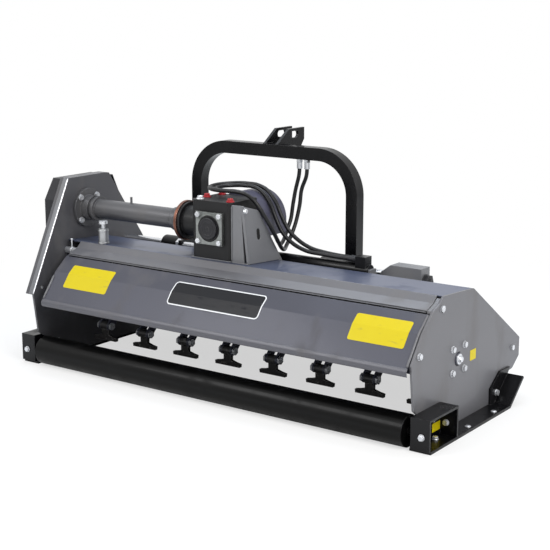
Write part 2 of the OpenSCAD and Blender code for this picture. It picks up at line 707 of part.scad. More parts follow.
module drive_tube() {
    color("#6d6d72") difference() {
        union() {
            tube_ring(left_in, tube_flange_t, flange_d);
            tube_ring(left_in, collar_len, collar_d);
            tube_ring(left_in, ring_x - left_in, tube_d);
            tube_ring(left_in + collar_len + tube_flange_t, tube_flange_t, collar_d);
            tube_ring(ring_x - collar_len, collar_len, 1.15 * tube_d);
            tube_ring(ring_x - tube_flange_t, tube_flange_t, 0.85 * ring_d);
            translate([0.7 * left_in, drive_y, drive_h]) cylinder(d = breather_d, h = 0.8 * tube_d);
        }
        tube_ring(left_in - cut, ring_x - left_in + 2 * cut, tube_bore);
        for (a = [45:90:315])
            bar_x(left_in - cut, tube_flange_t + 2 * cut, bolt_d + 2 * hole_gap,
                [drive_y, drive_h] + tube_bolt_r * [cos(a), sin(a)]);
    }
}

module clamp_ring() {
    color("#b06a3c") difference() {
        tube_ring(ring_x, ring_t, ring_d);
        tube_ring(ring_x - cut, ring_t + 2 * cut, tube_bore);
    }
}

module bearing_x(x, l, d) {
    difference() {
        tube_ring(x, l, d);
        tube_ring(x - cut, l + 2 * cut, shaft_d + 2 * run_gap);
    }
}

module bearing_y(y) {
    difference() {
        bar_y(pto_x, y, drive_h, gearbox_t, bearing_d);
        bar_y(pto_x, y - cut, drive_h, gearbox_t + 2 * cut, shaft_d + 2 * run_gap);
    }
}

module bearings() {
    color("#5c5d60") {
        bearing_x(left_in, bearing_t, tube_bore);
        bearing_x(neck_x, bearing_t, bearing_d);
        bearing_y(gearbox_y);
        bearing_y(gearbox_y + gearbox_d - gearbox_t);
        both_ends() difference() {
            union() {
                translate([right_in - flange_t, rotor[0] - flange_w / 2, rotor[1] - flange_w / 2])
                    cube([flange_t, flange_w, flange_w]);
                bar_x(right_in - flange_t - boss_t, boss_t, boss_d, rotor);
            }
            bar_x(right_in - flange_t - boss_t - cut, flange_t + boss_t + 2 * cut, stub_d + 2 * run_gap,
                rotor);
            for (p = bearing_bolts)
                bar_x(right_in - flange_t - cut, flange_t + 2 * cut, bolt_d + 2 * hole_gap, p);
        }
    }
}

module loop_of(h) {
    hull() {
        translate([drive_y, drive_h]) circle(d = top_pulley_d - 2 * groove_depth + 2 * belt_gap + 2 * h);
        translate(rotor) circle(d = low_pulley_d - 2 * groove_depth + 2 * belt_gap + 2 * h);
    }
}

module belts() {
    color("#141416") for (i = [0:belt_n - 1])
        translate([pulley_x + (belt_pitch - belt_w) + i * belt_pitch + belt_gap, 0, 0]) rotate([90, 0, 90])
            linear_extrude(height = belt_w - 2 * belt_gap) difference() {
                loop_of(belt_h);
                loop_of(0);
            }
}

module pulley(d, p) {
    difference() {
        bar_x(pulley_x, pulley_w, d, p);
        for (i = [0:belt_n - 1])
            difference() {
                bar_x(pulley_x + (belt_pitch - belt_w) + i * belt_pitch, belt_w, d + cut, p);
                bar_x(pulley_x, pulley_w, d - 2 * groove_depth, p);
            }
    }
}

module shaft_guard() {
    color("#3a3a42") difference() {
        union() {
            bar_y(pto_x, drive_y + gearbox_d / 2, drive_h, shield_len, 2 * shield_r);
            translate([pto_x - shield_r, drive_y + gearbox_d / 2, drive_h - skirt_h])
                cube([2 * shield_r, shield_len, skirt_h]);
        }
        bar_y(pto_x, drive_y + gearbox_d / 2 + shield_t, drive_h, shield_len, 2 * (shield_r - shield_t));
        translate([pto_x - shield_r + shield_t, drive_y + gearbox_d / 2 + shield_t, drive_h - shield_r])
            cube([2 * (shield_r - shield_t), shield_len, shield_r]);
        translate([pto_x - shield_r, drive_y - shield_len, drive_h - skirt_h - shield_r])
            cube([2 * shield_r, 3 * shield_len, shield_r]);
        bar_y(pto_x, drive_y + gearbox_d / 2 - cut, drive_h, 2 * cut, shield_rim);
    }
}

// Slide bars, brackets, cylinder and hoses
module guide_bars() {
    color("#c9ccd2") {
        bar_x(left_in, bar_end - left_in, bar_d, bar_at);
        bar_x(left_in, low_bar_end - left_in, low_bar_d, low_bar_at);
    }
}

module low_bracket(x) {
    difference() {
        plate_x(x, low_bracket_t, low_bracket_pts);
        bar_x(x - cut, low_bracket_t + 2 * cut, low_bar_d, low_bar_at);
    }
}

module slide_brackets() {
    color("#808186") {
        difference() {
            plate_x(saddle_x, saddle_len, [[saddle_y, slope_z(saddle_y)],
                [saddle_y + saddle_w, slope_z(saddle_y + saddle_w)], [saddle_y + saddle_w, saddle_top],
                [saddle_y, saddle_top]]);
            bar_x(saddle_x - cut, saddle_len + 2 * cut, bar_d, bar_at);
            translate([0, saddle_y + saddle_w + cut, 0]) rotate([90, 0, 0])
                linear_extrude(height = saddle_w + 2 * cut)
                    polygon([[saddle_x - cut, saddle_top + cut], [saddle_x + bar_d, saddle_top + cut],
                        [saddle_x + bar_d, saddle_top], [saddle_x, bar_at[1] + bar_d / 2],
                        [saddle_x - cut, bar_at[1] + bar_d / 2]]);
        }
        low_bracket(left_in);
        low_bracket(low_bar_end - low_bracket_t);
        plate_x(barrel_end, anchor_t, [[barrel_at[0] - anchor_w / 2, slope_z(barrel_at[0] - anchor_w / 2)],
            [barrel_at[0] + anchor_w / 2, slope_z(barrel_at[0] + anchor_w / 2)],
            [barrel_at[0] + anchor_w / 2, anchor_top], [barrel_at[0] - anchor_w / 2, anchor_top]]);
    }
}

module shift_barrel() {
    color("#202023") {
        difference() {
            bar_x(barrel_x, barrel_len, barrel_d, barrel_at);
            bar_x(barrel_x + gland_t, barrel_len - 2 * gland_t, barrel_bore, barrel_at);
            bar_x(barrel_x - cut, gland_t + 2 * cut, rod_d + 2 * run_gap, barrel_at);
        }
        difference() {
            translate([block_x, barrel_at[0] - block_w / 2, barrel_at[1]])
                cube([block_l, block_w, block_top - barrel_at[1]]);
            bar_x(block_x - cut, block_l + 2 * cut, barrel_d - 2 * run_gap, barrel_at);
        }
    }
}

module hose_fittings() {
    color("#c4c7cc") for (k = [0:1]) {
        bar_x(port_at(k)[0], fitting_len, ferrule_d - hose_d / 8, [port_at(k)[1], port_at(k)[2]]);
        hex_x(block_x - coupler_nut_h, coupler_nut_h, ferrule_d, [port_at(k)[1], port_at(k)[2]]);
    }
}

module hose(p) {
    q = line_of(p);
    polyhedron(hose_pts(q, sides(q, 0, [1, 0, 0])), hose_faces(len(q)), convexity = 6);
}

module hose_a() {
    color("#161618") hose(route(hose_a_mid, 0));
}

module hose_b() {
    color("#161618") hose(route(hose_b_mid, 1));
}

module hose_couplers() {
    color("#c4c7cc") for (k = [0:1]) translate(coupler_at(k)) {
        cylinder(d = ferrule_d, h = coupler_len);
        translate([0, 0, coupler_len - coupler_nut_h])
            cylinder(d = 1.2 * ferrule_d, h = coupler_nut_h, $fn = 6);
    }
}

module plunger_body() {
    color("#a7abb2") difference() {
        translate([plunger_x, plunger_y, plunger_z]) cylinder(d = plunger_d, h = plunger_h);
        translate([plunger_x, plunger_y, plunger_z + plunger_d / 8])
            cylinder(d = plunger_pin_d + 2 * run_gap, h = plunger_h + cut);
    }
}

module plunger_pin() {
    color("#c7cbd1") {
        translate([plunger_x, plunger_y, plunger_z + plunger_d / 4])
            cylinder(d = plunger_pin_d, h = plunger_top - plunger_z - plunger_d / 4);
        translate([plunger_x, plunger_y, plunger_top - plunger_cap_t])
            cylinder(d = 0.9 * plunger_d, h = plunger_cap_t);
    }
}

module cover_bolt_at(x, z) {
    bar_y(x, gearbox_y - cover_t, z, cover_t, bolt_d);
    translate([x, gearbox_y - cover_t, z]) rotate([90, 0, 0]) cylinder(d = head_d, h = head_h, $fn = 6);
}

module deck_bolts() {
    color("#c0c3c8") {
        both_ends() {
            for (p = bearing_bolts)
                bolt_x(right_face, p, plate_t + flange_t);
            bolt_x(right_face, yz(catch_shares), plate_t);
            bolt_x(right_face + bracket_t, yz(skid_bolt_shares), plate_t + bracket_t);
            for (s = bracket_bolt_shares)
                bolt_x(right_face + bracket_t, yz(s), plate_t + bracket_t);
        }
        for (a = [-1, 1], b = [-1, 1])
            cover_bolt_at(pto_x + a * cover_bolt, drive_h + b * cover_bolt);
        for (a = [45:90:315])
            bolt_x(left_in + tube_flange_t, [drive_y, drive_h] + tube_bolt_r * [cos(a), sin(a)],
                tube_flange_t);
    }
}

// Headstock
module arch(w, z0) {
    for (s = [-1, 1]) {
        translate([pto_x + s * frame_w / 2 - w / 2, leg_y - w / 2, z0]) cube([w, w, bar_z - bend_r - z0]);
        translate([pto_x + s * (frame_w / 2 - bend_r), leg_y, bar_z - bend_r])
            rotate([90, s > 0 ? 0 : -90, 0])
            rotate_extrude(angle = 90) translate([bend_r - w / 2, -w / 2]) square([w, w]);
    }
    translate([pto_x - frame_w / 2 + bend_r, leg_y - w / 2, bar_z - w / 2])
        cube([frame_w - 2 * bend_r, w, w]);
}

module headstock_frame() {
    color("#17171a") difference() {
        arch(tube_w, leg_z);
        arch(tube_w - 2 * tube_t, leg_z - cut);
    }
}

module top_link_lugs() {
    color("#19191c") for (s = [-1, 1]) difference() {
        plate_x(pto_x + s * lug_span / 2 - lug_plate_t / 2, lug_plate_t,
            [for (p = lug_shares) [lug_y + p[0] * lug_len, lug_z + p[1] * lug_h]]);
        for (a = [-1, 1])
            bar_x(pto_x + s * lug_span / 2 - cut, 2 * cut, slot_h, slot_at + [a * (slot_l - slot_h) / 2, 0]);
        translate([pto_x + s * lug_span / 2 - cut, slot_at[0] - (slot_l - slot_h) / 2,
            slot_at[1] - slot_h / 2])
            cube([2 * cut, slot_l - slot_h, slot_h]);
    }
}

module on_legs() {
    children();
    translate([2 * pto_x, 0, 0]) mirror([1, 0, 0]) children();
}

module hitch_cheeks() {
    color("#1a1a1d") on_legs() difference() {
        plate_x(cheek_x, cheek_t, [for (s = cheek_shares) yz(s)]);
        bar_x(cheek_x - cut, cheek_t + 2 * cut, sleeve_d, bar_at);
        bar_x(cheek_x - cut, cheek_t + 2 * cut, low_sleeve_d, low_bar_at);
    }
}

module hitch_pins() {
    color("#b4b7bc") on_legs() {
        bar_x(cheek_x + cheek_t, hitch_len, hitch_d, pin_at);
        bar_x(cheek_x + cheek_t, pin_collar_t, pin_collar_d, pin_at);
    }
}

module sleeve(x, d, bore, p) {
    difference() {
        bar_x(x, sleeve_len, d, p);
        bar_x(x - cut, sleeve_len + 2 * cut, bore + 2 * run_gap, p);
    }
}

module guide_sleeves() {
    color("#1b1b1e") {
        for (x = [left_sleeve_x, right_sleeve_x]) {
            sleeve(x, sleeve_d, bar_d, bar_at);
            sleeve(x, low_sleeve_d, low_bar_d, low_bar_at);
        }
        difference() {
            plate_x(rod_end, rod_lug_t, [for (s = rod_lug_shares) yz(s)]);
            bar_x(rod_end - cut, rod_lug_t + 2 * cut, sleeve_d, bar_at);
            bar_x(rod_end - cut, rod_lug_t + 2 * cut, rod_d, barrel_at);
        }
    }
}

module shift_rod() {
    color("#d4d7dc") {
        bar_x(rod_end - rod_nut_h, piston_x - rod_end + rod_nut_h, rod_d, barrel_at);
        bar_x(piston_x - rod_d, rod_d, barrel_bore - 4 * run_gap, barrel_at);
        hex_x(rod_end - rod_nut_h, rod_nut_h, rod_nut_d, barrel_at);
    }
}

// Rotor, shafts, roller and hood
module lug_pair(i) {
    for (s = [-1, 1])
        translate([flail_x(i) + s * (eye_w / 2 + lug_gap + lug_t / 2) - lug_t / 2, rotor[0], rotor[1]])
            rotate([row_deg(i) - 90, 0, 0]) {
                plate_x(0, lug_t, [[-lug_base / 2, drum_d / 2 - drum_wall / 2],
                    [lug_base / 2, drum_d / 2 - drum_wall / 2], [lug_r, bolt_circle_r],
                    [-lug_r, bolt_circle_r]]);
                bar_x(0, lug_t, 2 * lug_r, [0, bolt_circle_r]);
            }
}

module rotor_drum() {
    color("#232326") {
        difference() {
            union() {
                bar_x(drum_x, drum_len, drum_d, rotor);
                for (i = [0:flail_n - 1])
                    lug_pair(i);
            }
            bar_x(drum_x + drum_wall, drum_len - 2 * drum_wall, drum_d - 2 * drum_wall, rotor);
            for (i = [0:flail_n - 1])
                bar_x(flail_x(i) - eye_w, 2 * eye_w, flail_bolt_d + 2 * run_gap, bolt_at(i));
        }
        bar_x(drum_x + drum_len, right_face + washer_t - drum_x - drum_len, stub_d, rotor);
        bar_x(pulley_x, drum_x - pulley_x, stub_d, rotor);
    }
}

module flail_bolts() {
    color("#6b6c70") for (i = [0:flail_n - 1]) {
        bar_x(flail_x(i) - eye_w / 2 - lug_gap - lug_t, eye_w + 2 * (lug_gap + lug_t), flail_bolt_d,
            bolt_at(i));
        for (s = [-1, 1])
            hex_x(flail_x(i) + s * (eye_w / 2 + lug_gap + lug_t + nut_h / 2) - nut_h / 2, nut_h, nut_d,
                bolt_at(i));
    }
}

module rotor_pulley() {
    color("#3c3d40") difference() {
        pulley(low_pulley_d, rotor);
        bar_x(pulley_x - cut, pulley_w + 2 * cut, stub_d, rotor);
    }
}

module flail(i) {
    color("#2f3034") translate([flail_x(i), bolt_at(i)[0], bolt_at(i)[1]]) difference() {
        union() {
            bar_x(-eye_w / 2, eye_w, eye_d, [0, 0]);
            translate([0, flail_t / 2, 0]) rotate([90, 0, 0]) linear_extrude(height = flail_t)
                polygon([for (s = flail_shares) [s[0] * flail_w / 2, s[1] * flail_len]]);
        }
        bar_x(-eye_w, 2 * eye_w, flail_bolt_d + 2 * flail_run, [0, 0]);
    }
}

module drive_shaft() {
    color("#5f6064") {
        bar_x(pulley_x, pto_x - gear_r - gear_gap - pulley_x, shaft_d, [drive_y, drive_h]);
        difference() {
            pulley(top_pulley_d, [drive_y, drive_h]);
            bar_x(pulley_x - cut, pulley_w + 2 * cut, shaft_d, [drive_y, drive_h]);
        }
        translate([pto_x - gear_r - gear_gap, drive_y, drive_h]) rotate([0, 90, 0])
            cylinder(r1 = gear_in, r2 = hub_share * gear_in, h = (1 - hub_share) * gear_r);
    }
}

module input_shaft() {
    color("#8a8c90") {
        difference() {
            bar_y(pto_x, gearbox_y + run_gap, drive_h, shaft_tip - gearbox_y, shaft_d);
            for (a = [0:spline_n - 1])
                translate([pto_x, shaft_tip - spline_len, drive_h]) rotate([0, a * 360 / spline_n, 0])
                    translate([shaft_d / 2 - spline_t, 0, -spline_w / 2])
                        cube([cut, spline_len + cut, spline_w]);
        }
        translate([pto_x, drive_y - gear_in - gear_gap, drive_h]) rotate([-90, 0, 0])
            cylinder(r1 = gear_r, r2 = hub_share * gear_r, h = (1 - hub_share) * gear_in);
        bar_y(pto_x, drive_y - gear_in - gear_gap - gear_t, drive_h, gear_t, 2 * gear_r);
    }
}

module roller() {
    color("#1a1a1c") {
        bar_x(left_in + roller_gap, inner_w - 2 * roller_gap, roller_d, roller);
        both_ends() bar_x(right_in - roller_gap, roller_gap + plate_t + bracket_t + collar_t, axle_d, roller);
    }
}

module hood() {
    color("#66676f") difference() {
        union() {
            plate_x(hood_x, hood_len, sheet(hood_pts, hood_t));
            for (x = [hood_x, hood_x + hood_len - ear_t]) {
                plate_x(x, ear_t, [for (s = ear_shares) yz(s)]);
                bar_x(x, ear_t, 2 * ear_r, hinge);
            }
        }
        bar_x(hood_x - cut, hood_len + 2 * cut, pivot_d + 2 * run_gap, hinge);
    }
}

top_panel();
front_panel();
front_beam();
hinge_rail();
right_end_plate();
left_end_plate();
belt_guard();
skids();
roller_brackets();
front_curtain();
pivot_rods();
gearbox_housing();
gearbox_covers();
gearbox_plugs();
gearbox_support();
drive_tube();
clamp_ring();
bearings();
belts();
shaft_guard();
guide_bars();
slide_brackets();
shift_barrel();
hose_fittings();
hose_a();
hose_b();
plunger_body();
deck_bolts();
headstock_frame();
top_link_lugs();
hitch_cheeks();
hitch_pins();
guide_sleeves();
shift_rod();
hose_couplers();
rotor_drum();
flail_bolts();
rotor_pulley();
drive_shaft();
input_shaft();
roller();
hood();
plunger_pin();
for (i = [0:flail_n - 1])
    flail(i);
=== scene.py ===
# %% [markdown]
# # A side-shift flail mower
#
# The solids of this machine come from its construction model, already in place and in metres. This lesson
# dresses them: it lays the hoses, mixes the paints and metals, and adds the small parts that a solid model
# leaves plain.

# %% Load the solids
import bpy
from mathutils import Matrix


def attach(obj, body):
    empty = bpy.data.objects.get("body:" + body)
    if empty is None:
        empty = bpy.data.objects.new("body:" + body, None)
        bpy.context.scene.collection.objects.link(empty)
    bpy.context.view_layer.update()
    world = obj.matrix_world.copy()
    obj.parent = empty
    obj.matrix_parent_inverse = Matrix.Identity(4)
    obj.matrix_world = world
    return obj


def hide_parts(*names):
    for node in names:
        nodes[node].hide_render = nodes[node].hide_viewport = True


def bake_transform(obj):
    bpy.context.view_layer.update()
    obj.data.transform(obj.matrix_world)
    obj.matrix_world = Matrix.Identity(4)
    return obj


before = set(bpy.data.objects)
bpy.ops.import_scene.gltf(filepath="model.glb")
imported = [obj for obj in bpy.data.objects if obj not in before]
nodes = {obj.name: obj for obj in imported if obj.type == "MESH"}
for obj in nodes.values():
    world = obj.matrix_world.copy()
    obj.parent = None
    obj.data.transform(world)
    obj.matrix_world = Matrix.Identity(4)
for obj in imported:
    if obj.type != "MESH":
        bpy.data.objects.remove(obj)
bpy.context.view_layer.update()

import math

import bmesh
import bpy
from mathutils import Euler, Vector

MM = 0.001
RIGHT, REAR, UP = (1, 0, 0), (0, -1, 0), (0, 0, 1)

# %% [markdown]
# ## The camera
#
# The picture was taken from behind the machine's right end, a little above the deck. A long lens keeps the
# far end almost as large as the near one. The place and the angles were solved from corners of the machine,
# so they are written as numbers instead of being aimed by a constraint.

# %% Camera
lens = bpy.data.cameras.new("studio_camera")
lens.lens = 82.87
lens.sensor_width = 36
lens.clip_end = 60
camera = bpy.data.objects.new("studio_camera", lens)
camera.location = (2.8485, -3.9365, 1.4653)
camera.rotation_euler = Euler((math.radians(77.6), 0, math.radians(35.7)))
bpy.context.scene.collection.objects.link(camera)
bpy.context.scene.camera = camera
print("camera at", tuple(round(x, 2) for x in camera.location))

# %% [markdown]
# ## A helper for meshes
#
# Most small parts here are rings of points joined by quads: a hose, a weld, a turned cap. One function skins
# such rings, and another turns a mesh into an object that rides on one of the machine's bodies, or on none.

# %% Skins and pieces
def skin(mesh, rings, caps=True):
    rows = [[mesh.verts.new(point) for point in ring] for ring in rings]
    count = len(rows[0])
    for low, high in zip(rows, rows[1:]):
        for j in range(count):
            mesh.faces.new((low[j], low[(j + 1) % count], high[(j + 1) % count], high[j]))
    if caps:
        mesh.faces.new(rows[0][::-1])
        mesh.faces.new(rows[-1])


def piece(name, mesh, materials, body, smooth):
    """An object from the mesh; smooth is the angle from which an edge stays sharp, or 0 for flat faces."""
    bmesh.ops.recalc_face_normals(mesh, faces=mesh.faces)
    data = bpy.data.meshes.new(name)
    mesh.to_mesh(data)
    mesh.free()
    for material in materials:
        data.materials.append(material)
    data.polygons.foreach_set("use_smooth", [smooth > 0] * len(data.polygons))
    if smooth > 0:
        data.set_sharp_from_angle(angle=math.radians(smooth))
    made = bpy.data.objects.new(name, data)
    bpy.context.scene.collection.objects.link(made)
    if body:
        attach(made, body)
    return made


print("skin helpers ready")

# %% [markdown]
# ## A lathe
#
# Bolts, plugs and caps are turned parts. A profile of radius and height, spun round an axis, gives each of
# them; with six sides the same lathe makes a hexagon. Rings written out one by one need no modifier and no
# edit mode.

# %% Lathe
def at(x, y, z):
    """A point given in millimetres."""
    return Vector((x, y, z)) * MM


def frame_of(axis):
    """Two directions square to the axis, and the axis itself."""
    along = Vector(axis).normalized()
    side = along.orthogonal().normalized()
    return side, along.cross(side).normalized(), along


def turned(mesh, profile, centre, axis, sides, turn=0.0):
    """A lathe: profile is radius and height in millimetres, from the foot up."""
    side, across, along = frame_of(axis)
    rings = []
    for radius, height in profile:
        ring = []
        for j in range(sides):
            a = turn + 2 * math.pi * j / sides
            spoke = side * math.cos(a) + across * math.sin(a)
            ring.append(centre + spoke * radius * MM + along * height * MM)
        rings.append(ring)
    skin(mesh, rings)


print("lathe ready")

# %% [markdown]
# ## Shader sums written as Python
#
# A material is a small network of nodes. Wiring it by hand hides the thought behind it, so an output socket
# is wrapped in a class that takes part in sums: each sign adds a Math node. The reflected forms let a plain
# number stand on the left, as in 1 - mask.

# %% Wires
class Wire:
    def __init__(self, network, socket):
        self.network = network
        self.socket = socket

    def maths(self, operation, *values):
        return self.network.node("ShaderNodeMath", {"operation": operation}, dict(enumerate(values)))

    def __add__(self, other):
        return self.maths("ADD", self, other)

    def __radd__(self, other):
        return self.maths("ADD", other, self)

    def __sub__(self, other):
        return self.maths("SUBTRACT", self, other)

    def __rsub__(self, other):
        return self.maths("SUBTRACT", other, self)

    def __mul__(self, other):
        return self.maths("MULTIPLY", self, other)

    def __rmul__(self, other):
        return self.maths("MULTIPLY", other, self)

    def clear(self):
        """The value held between 0 and 1."""
        return self.network.node("ShaderNodeClamp", {}, {"Value": self})


print("wires ready")

# %% [markdown]
# ## One method for every node
#
# Materials and the world both hold a node tree. Every node comes from one method, which takes the node's type,
# its settings, and the values or links of its sockets. It hands back one output as a wire.

# %% Networks
class Network:
    def __init__(self, tree):
        self.tree = tree

    def plug(self, node, inputs):
        for name, value in inputs.items():
            if isinstance(value, Wire):
                self.tree.links.new(value.socket, node.inputs[name])
            else:
                node.inputs[name].default_value = value

    def node(self, kind, settings=None, inputs=None, output=0):
        made = self.tree.nodes.new(kind)
        for name, value in (settings or {}).items():
            setattr(made, name, value)
        self.plug(made, inputs or {})
        return Wire(self, made.outputs[output])

    def found(self, kind):
        """The node of this type that the tree was made with."""
        return next(n for n in self.tree.nodes if n.type == kind)


print("networks ready")

# %% [markdown]
# ## What finishes share
#
# Paint, rubber and metal all need the same few things: noise, a soft threshold, a mix of two colours, rounded
# corners and a fine bump. They are methods of one class, so a recipe below reads as a list of what is seen.
# Corners are rounded in the shader, because real edges are never sharp, and the same node tells where they are.

# %% Finishes
class Finish(Network):
    def __init__(self, name, **constants):
        self.material = bpy.data.materials.new(name)
        self.material.use_nodes = True
        super().__init__(self.material.node_tree)
        self.shader = self.found("BSDF_PRINCIPLED")
        self.place = self.node("ShaderNodeTexCoord", output="Object")
        self.feed(**constants)

    def feed(self, **inputs):
        self.plug(self.shader, {name.replace("_", " "): value for name, value in inputs.items()})

    def noise(self, scale, detail=3.0, stretch=None):
        place = self.place
        if stretch:
            place = self.node("ShaderNodeMapping", {}, {"Vector": place, "Scale": stretch})
        return self.node("ShaderNodeTexNoise", {}, {"Vector": place, "Scale": scale, "Detail": detail}, "Fac")

    def between(self, share, first, second):
        return self.node("ShaderNodeMix", {"data_type": "RGBA"}, {0: share, 6: first, 7: second}, 2)

    def band(self, value, low, high):
        return self.node("ShaderNodeMapRange", {"interpolation_type": "SMOOTHSTEP"},
                         {"Value": value, "From Min": low, "From Max": high})

    def round_edges(self, radius):
        """The normal of softly rounded corners, and a mask that is one along them."""
        soft = self.node("ShaderNodeBevel", {"samples": 6}, {"Radius": radius})
        flat = self.node("ShaderNodeNewGeometry", output="Normal")
        same = self.node("ShaderNodeVectorMath", {"operation": "DOT_PRODUCT"}, {0: soft, 1: flat}, "Value")
        return soft, self.band(1 - same, 0.02, 0.2)

    def bump(self, height, strength, depth, normal=None):
        inputs = {"Height": height, "Strength": strength, "Distance": depth}
        if normal:
            inputs["Normal"] = normal
        self.feed(Normal=self.node("ShaderNodeBump", {}, inputs))


def tone(red, green, blue):
    """A colour as the eye names it, from 0 to 255, made linear for the shader."""
    parts = [v / 255 for v in (red, green, blue)]
    return tuple(v / 12.92 if v <= 0.04045 else ((v + 0.055) / 1.055) ** 2.4 for v in parts) + (1.0,)


print("finish class ready")

# %% [markdown]
# ## Grey metallic paint
#
# The deck is sprayed in a dark grey with fine metal flakes under a clear lacquer. A Voronoi pattern with cells
# of about a millimetre gives the flakes, slow noise gives the uneven coat, stretched noise gives dust that ran
# down in the rain, and the corner mask thins the paint where hands and grass rub it.

# %% Grey paint
DUST, RUBBED_PAINT = tone(112, 107, 99), tone(158, 158, 160)


def flake_paint(name, base, light, rough=0.36, metal=0.25):
    paint = Finish(name, Coat_Roughness=0.12, Specular_IOR_Level=0.4)
    flakes = paint.node("ShaderNodeTexVoronoi", {}, {"Vector": paint.place, "Scale": 900.0}, "Color")
    glint = paint.node("ShaderNodeSeparateColor", {}, {"Color": flakes})
    coat = paint.noise(3.5, 4.0)
    grime = paint.band(paint.noise(9.0, 6.0, (1.0, 1.0, 0.35)), 0.52, 0.74)
    soft, rim = paint.round_edges(0.0035)
    worn = (rim * paint.band(paint.noise(38.0, 5.0), 0.42, 0.62)).clear()
    colour = paint.between((0.22 * glint + 0.5 * coat).clear(), base, light)
    colour = paint.between(grime * 0.16, colour, DUST)
    colour = paint.between(worn * 0.5, colour, RUBBED_PAINT)
    paint.feed(Base_Color=colour, Metallic=metal - 0.2 * grime,
               Roughness=rough + 0.1 * coat + 0.22 * grime, Coat_Weight=0.12 - 0.12 * grime)
    paint.bump(paint.noise(320.0, 2.0), 0.06, 0.0004, soft)
    return paint.material


deck_grey = flake_paint("deck_grey", tone(92, 92, 96), tone(114, 114, 118))
# The top panel's grey is darker and bluer than the deck's: painted shade and a painted reflection of the blue
# sky.
top_grey_painted_reflection = flake_paint("top_grey_painted_reflection", tone(60, 67, 87), tone(80, 88, 114))
# The left end plate's grey is a darker copy of the deck's: painted shade, not a paint of its own.
plate_grey_painted_shade = flake_paint("plate_grey_painted_shade", tone(68, 68, 72), tone(88, 88, 92))
# The hood's grey is a darker, bluer copy of the deck's: painted shade and a painted reflection of the blue sky.
hood_grey_painted_shade = flake_paint("hood_grey_painted_shade", tone(58, 59, 68), tone(78, 79, 90))
# The hem's grey is lighter than the hood's: a painted highlight along the hood's lower edge.
hem_grey_painted_light = flake_paint("hem_grey_painted_light", tone(76, 76, 82), tone(96, 96, 103))
tube_grey = flake_paint("tube_grey", tone(76, 76, 79), tone(104, 104, 106), 0.32, 0.5)
bracket_grey = flake_paint("bracket_grey", tone(104, 105, 109), tone(130, 131, 134), 0.4, 0.2)
print("grey paints mixed")

# %% [markdown]
# ## Black paint, castings and rubber
#
# The headstock, skids and roller are dipped in gloss black. It is never quite black: the coat is slightly
# wavy, a little dust lies on it, and the corners are rubbed to dull grey. The gearbox is cast, so its skin is
# grainy. Rubber and plastic share the same recipe with less gloss and a finer grain.

# %% Black finishes
RUBBED_BLACK = tone(112, 112, 114)


def black_finish(name, base, dust, rough, coat, grain, depth, wear=0.45, shine=0.28):
    skinned = Finish(name, Coat_Roughness=0.08, Specular_IOR_Level=shine)
    cloud = skinned.noise(6.0, 5.0)
    settle = skinned.band(skinned.noise(14.0, 6.0, (1.0, 1.0, 0.5)), 0.5, 0.78)
    soft, rim = skinned.round_edges(0.003)
    worn = (rim * skinned.band(skinned.noise(45.0, 5.0), 0.45, 0.62)).clear()
    colour = skinned.between((cloud * 0.3 + settle * 0.5).clear(), base, dust)
    colour = skinned.between(worn * wear, colour, RUBBED_BLACK)
    skinned.feed(Base_Color=colour, Roughness=rough + 0.12 * cloud + 0.2 * settle,
                 Coat_Weight=(coat - coat * settle).clear())
    skinned.bump(skinned.noise(grain, 3.0), 0.25, depth, soft)
    return skinned.material


gloss_black = black_finish("gloss_black", tone(5, 5, 7), tone(14, 14, 17), 0.22, 0.1, 140.0, 0.0003,
                           wear=0.35, shine=0.2)
roller_black = black_finish("roller_black", tone(5, 5, 5), tone(13, 13, 13), 0.24, 0.05, 90.0, 0.0005,
                            wear=0.3, shine=0.12)
cast_black = black_finish("cast_black", tone(12, 12, 14), tone(32, 32, 33), 0.42, 0.05, 420.0, 0.0009,
                          wear=0.3)
guard_plastic = black_finish("guard_plastic", tone(62, 62, 80), tone(92, 91, 104), 0.3, 0.1, 600.0, 0.0003,
                             wear=0.15)
guard_grey = black_finish("guard_grey", tone(24, 24, 28), tone(44, 44, 48), 0.34, 0.1, 300.0, 0.0003)
curtain_rubber = black_finish("curtain_rubber", tone(18, 18, 19), tone(40, 39, 38), 0.62, 0.0, 260.0, 0.0006,
                              wear=0.1)
print("black finishes mixed")

# %% [markdown]
# ## Bare metals
#
# Bolts are zinc plated: bright, faintly uneven in tint and with tiny scratches. Slide bars and the cylinder
# rod are ground and chromed. One recipe serves them all: patches of stain, scratches drawn out along the part,
# and corners that were polished by handling.

# %% Metals
POLISHED = tone(236, 236, 238)


def bare_metal(name, base, stain, rough, scratch, depth=0.0002, share=1.0):
    metal = Finish(name, Metallic=share)
    patch = metal.noise(26.0, 4.0)
    lines = metal.noise(scratch, 2.0, (0.12, 1.0, 1.0))
    soft, rim = metal.round_edges(0.0012)
    colour = metal.between(metal.band(patch, 0.35, 0.75), base, stain)
    colour = metal.between(rim * 0.35, colour, POLISHED)
    metal.feed(Base_Color=colour, Roughness=(rough + 0.14 * patch + 0.1 * lines).clear())
    metal.bump(lines, 0.12, depth, soft)
    return metal.material


zinc = bare_metal("zinc", tone(214, 216, 220), tone(178, 180, 184), 0.16, 500.0, share=0.7)
chrome = bare_metal("chrome", tone(222, 224, 228), tone(204, 206, 210), 0.06, 900.0, depth=0.00005)
machined = bare_metal("machined", tone(176, 178, 180), tone(146, 147, 148), 0.3, 700.0)
cover_metal = bare_metal("cover_metal", tone(142, 145, 143), tone(102, 105, 103), 0.38, 240.0)
copper = bare_metal("copper", tone(124, 86, 72), tone(88, 62, 54), 0.36, 420.0)
# A pale metal for the painted highlight along the left plate's edge.
edge_highlight_metal = bare_metal("edge_highlight_metal", tone(226, 226, 230), tone(202, 203, 207), 0.3, 300.0)
print("metals mixed")

# %% [markdown]
# ## Worn paint on the rotor
#
# The drum and the flails are painted dark and work in soil and stones, so they lose that paint at their edges
# first and then in chips. The corner mask now uncovers steel, and the metal share follows the same mask.

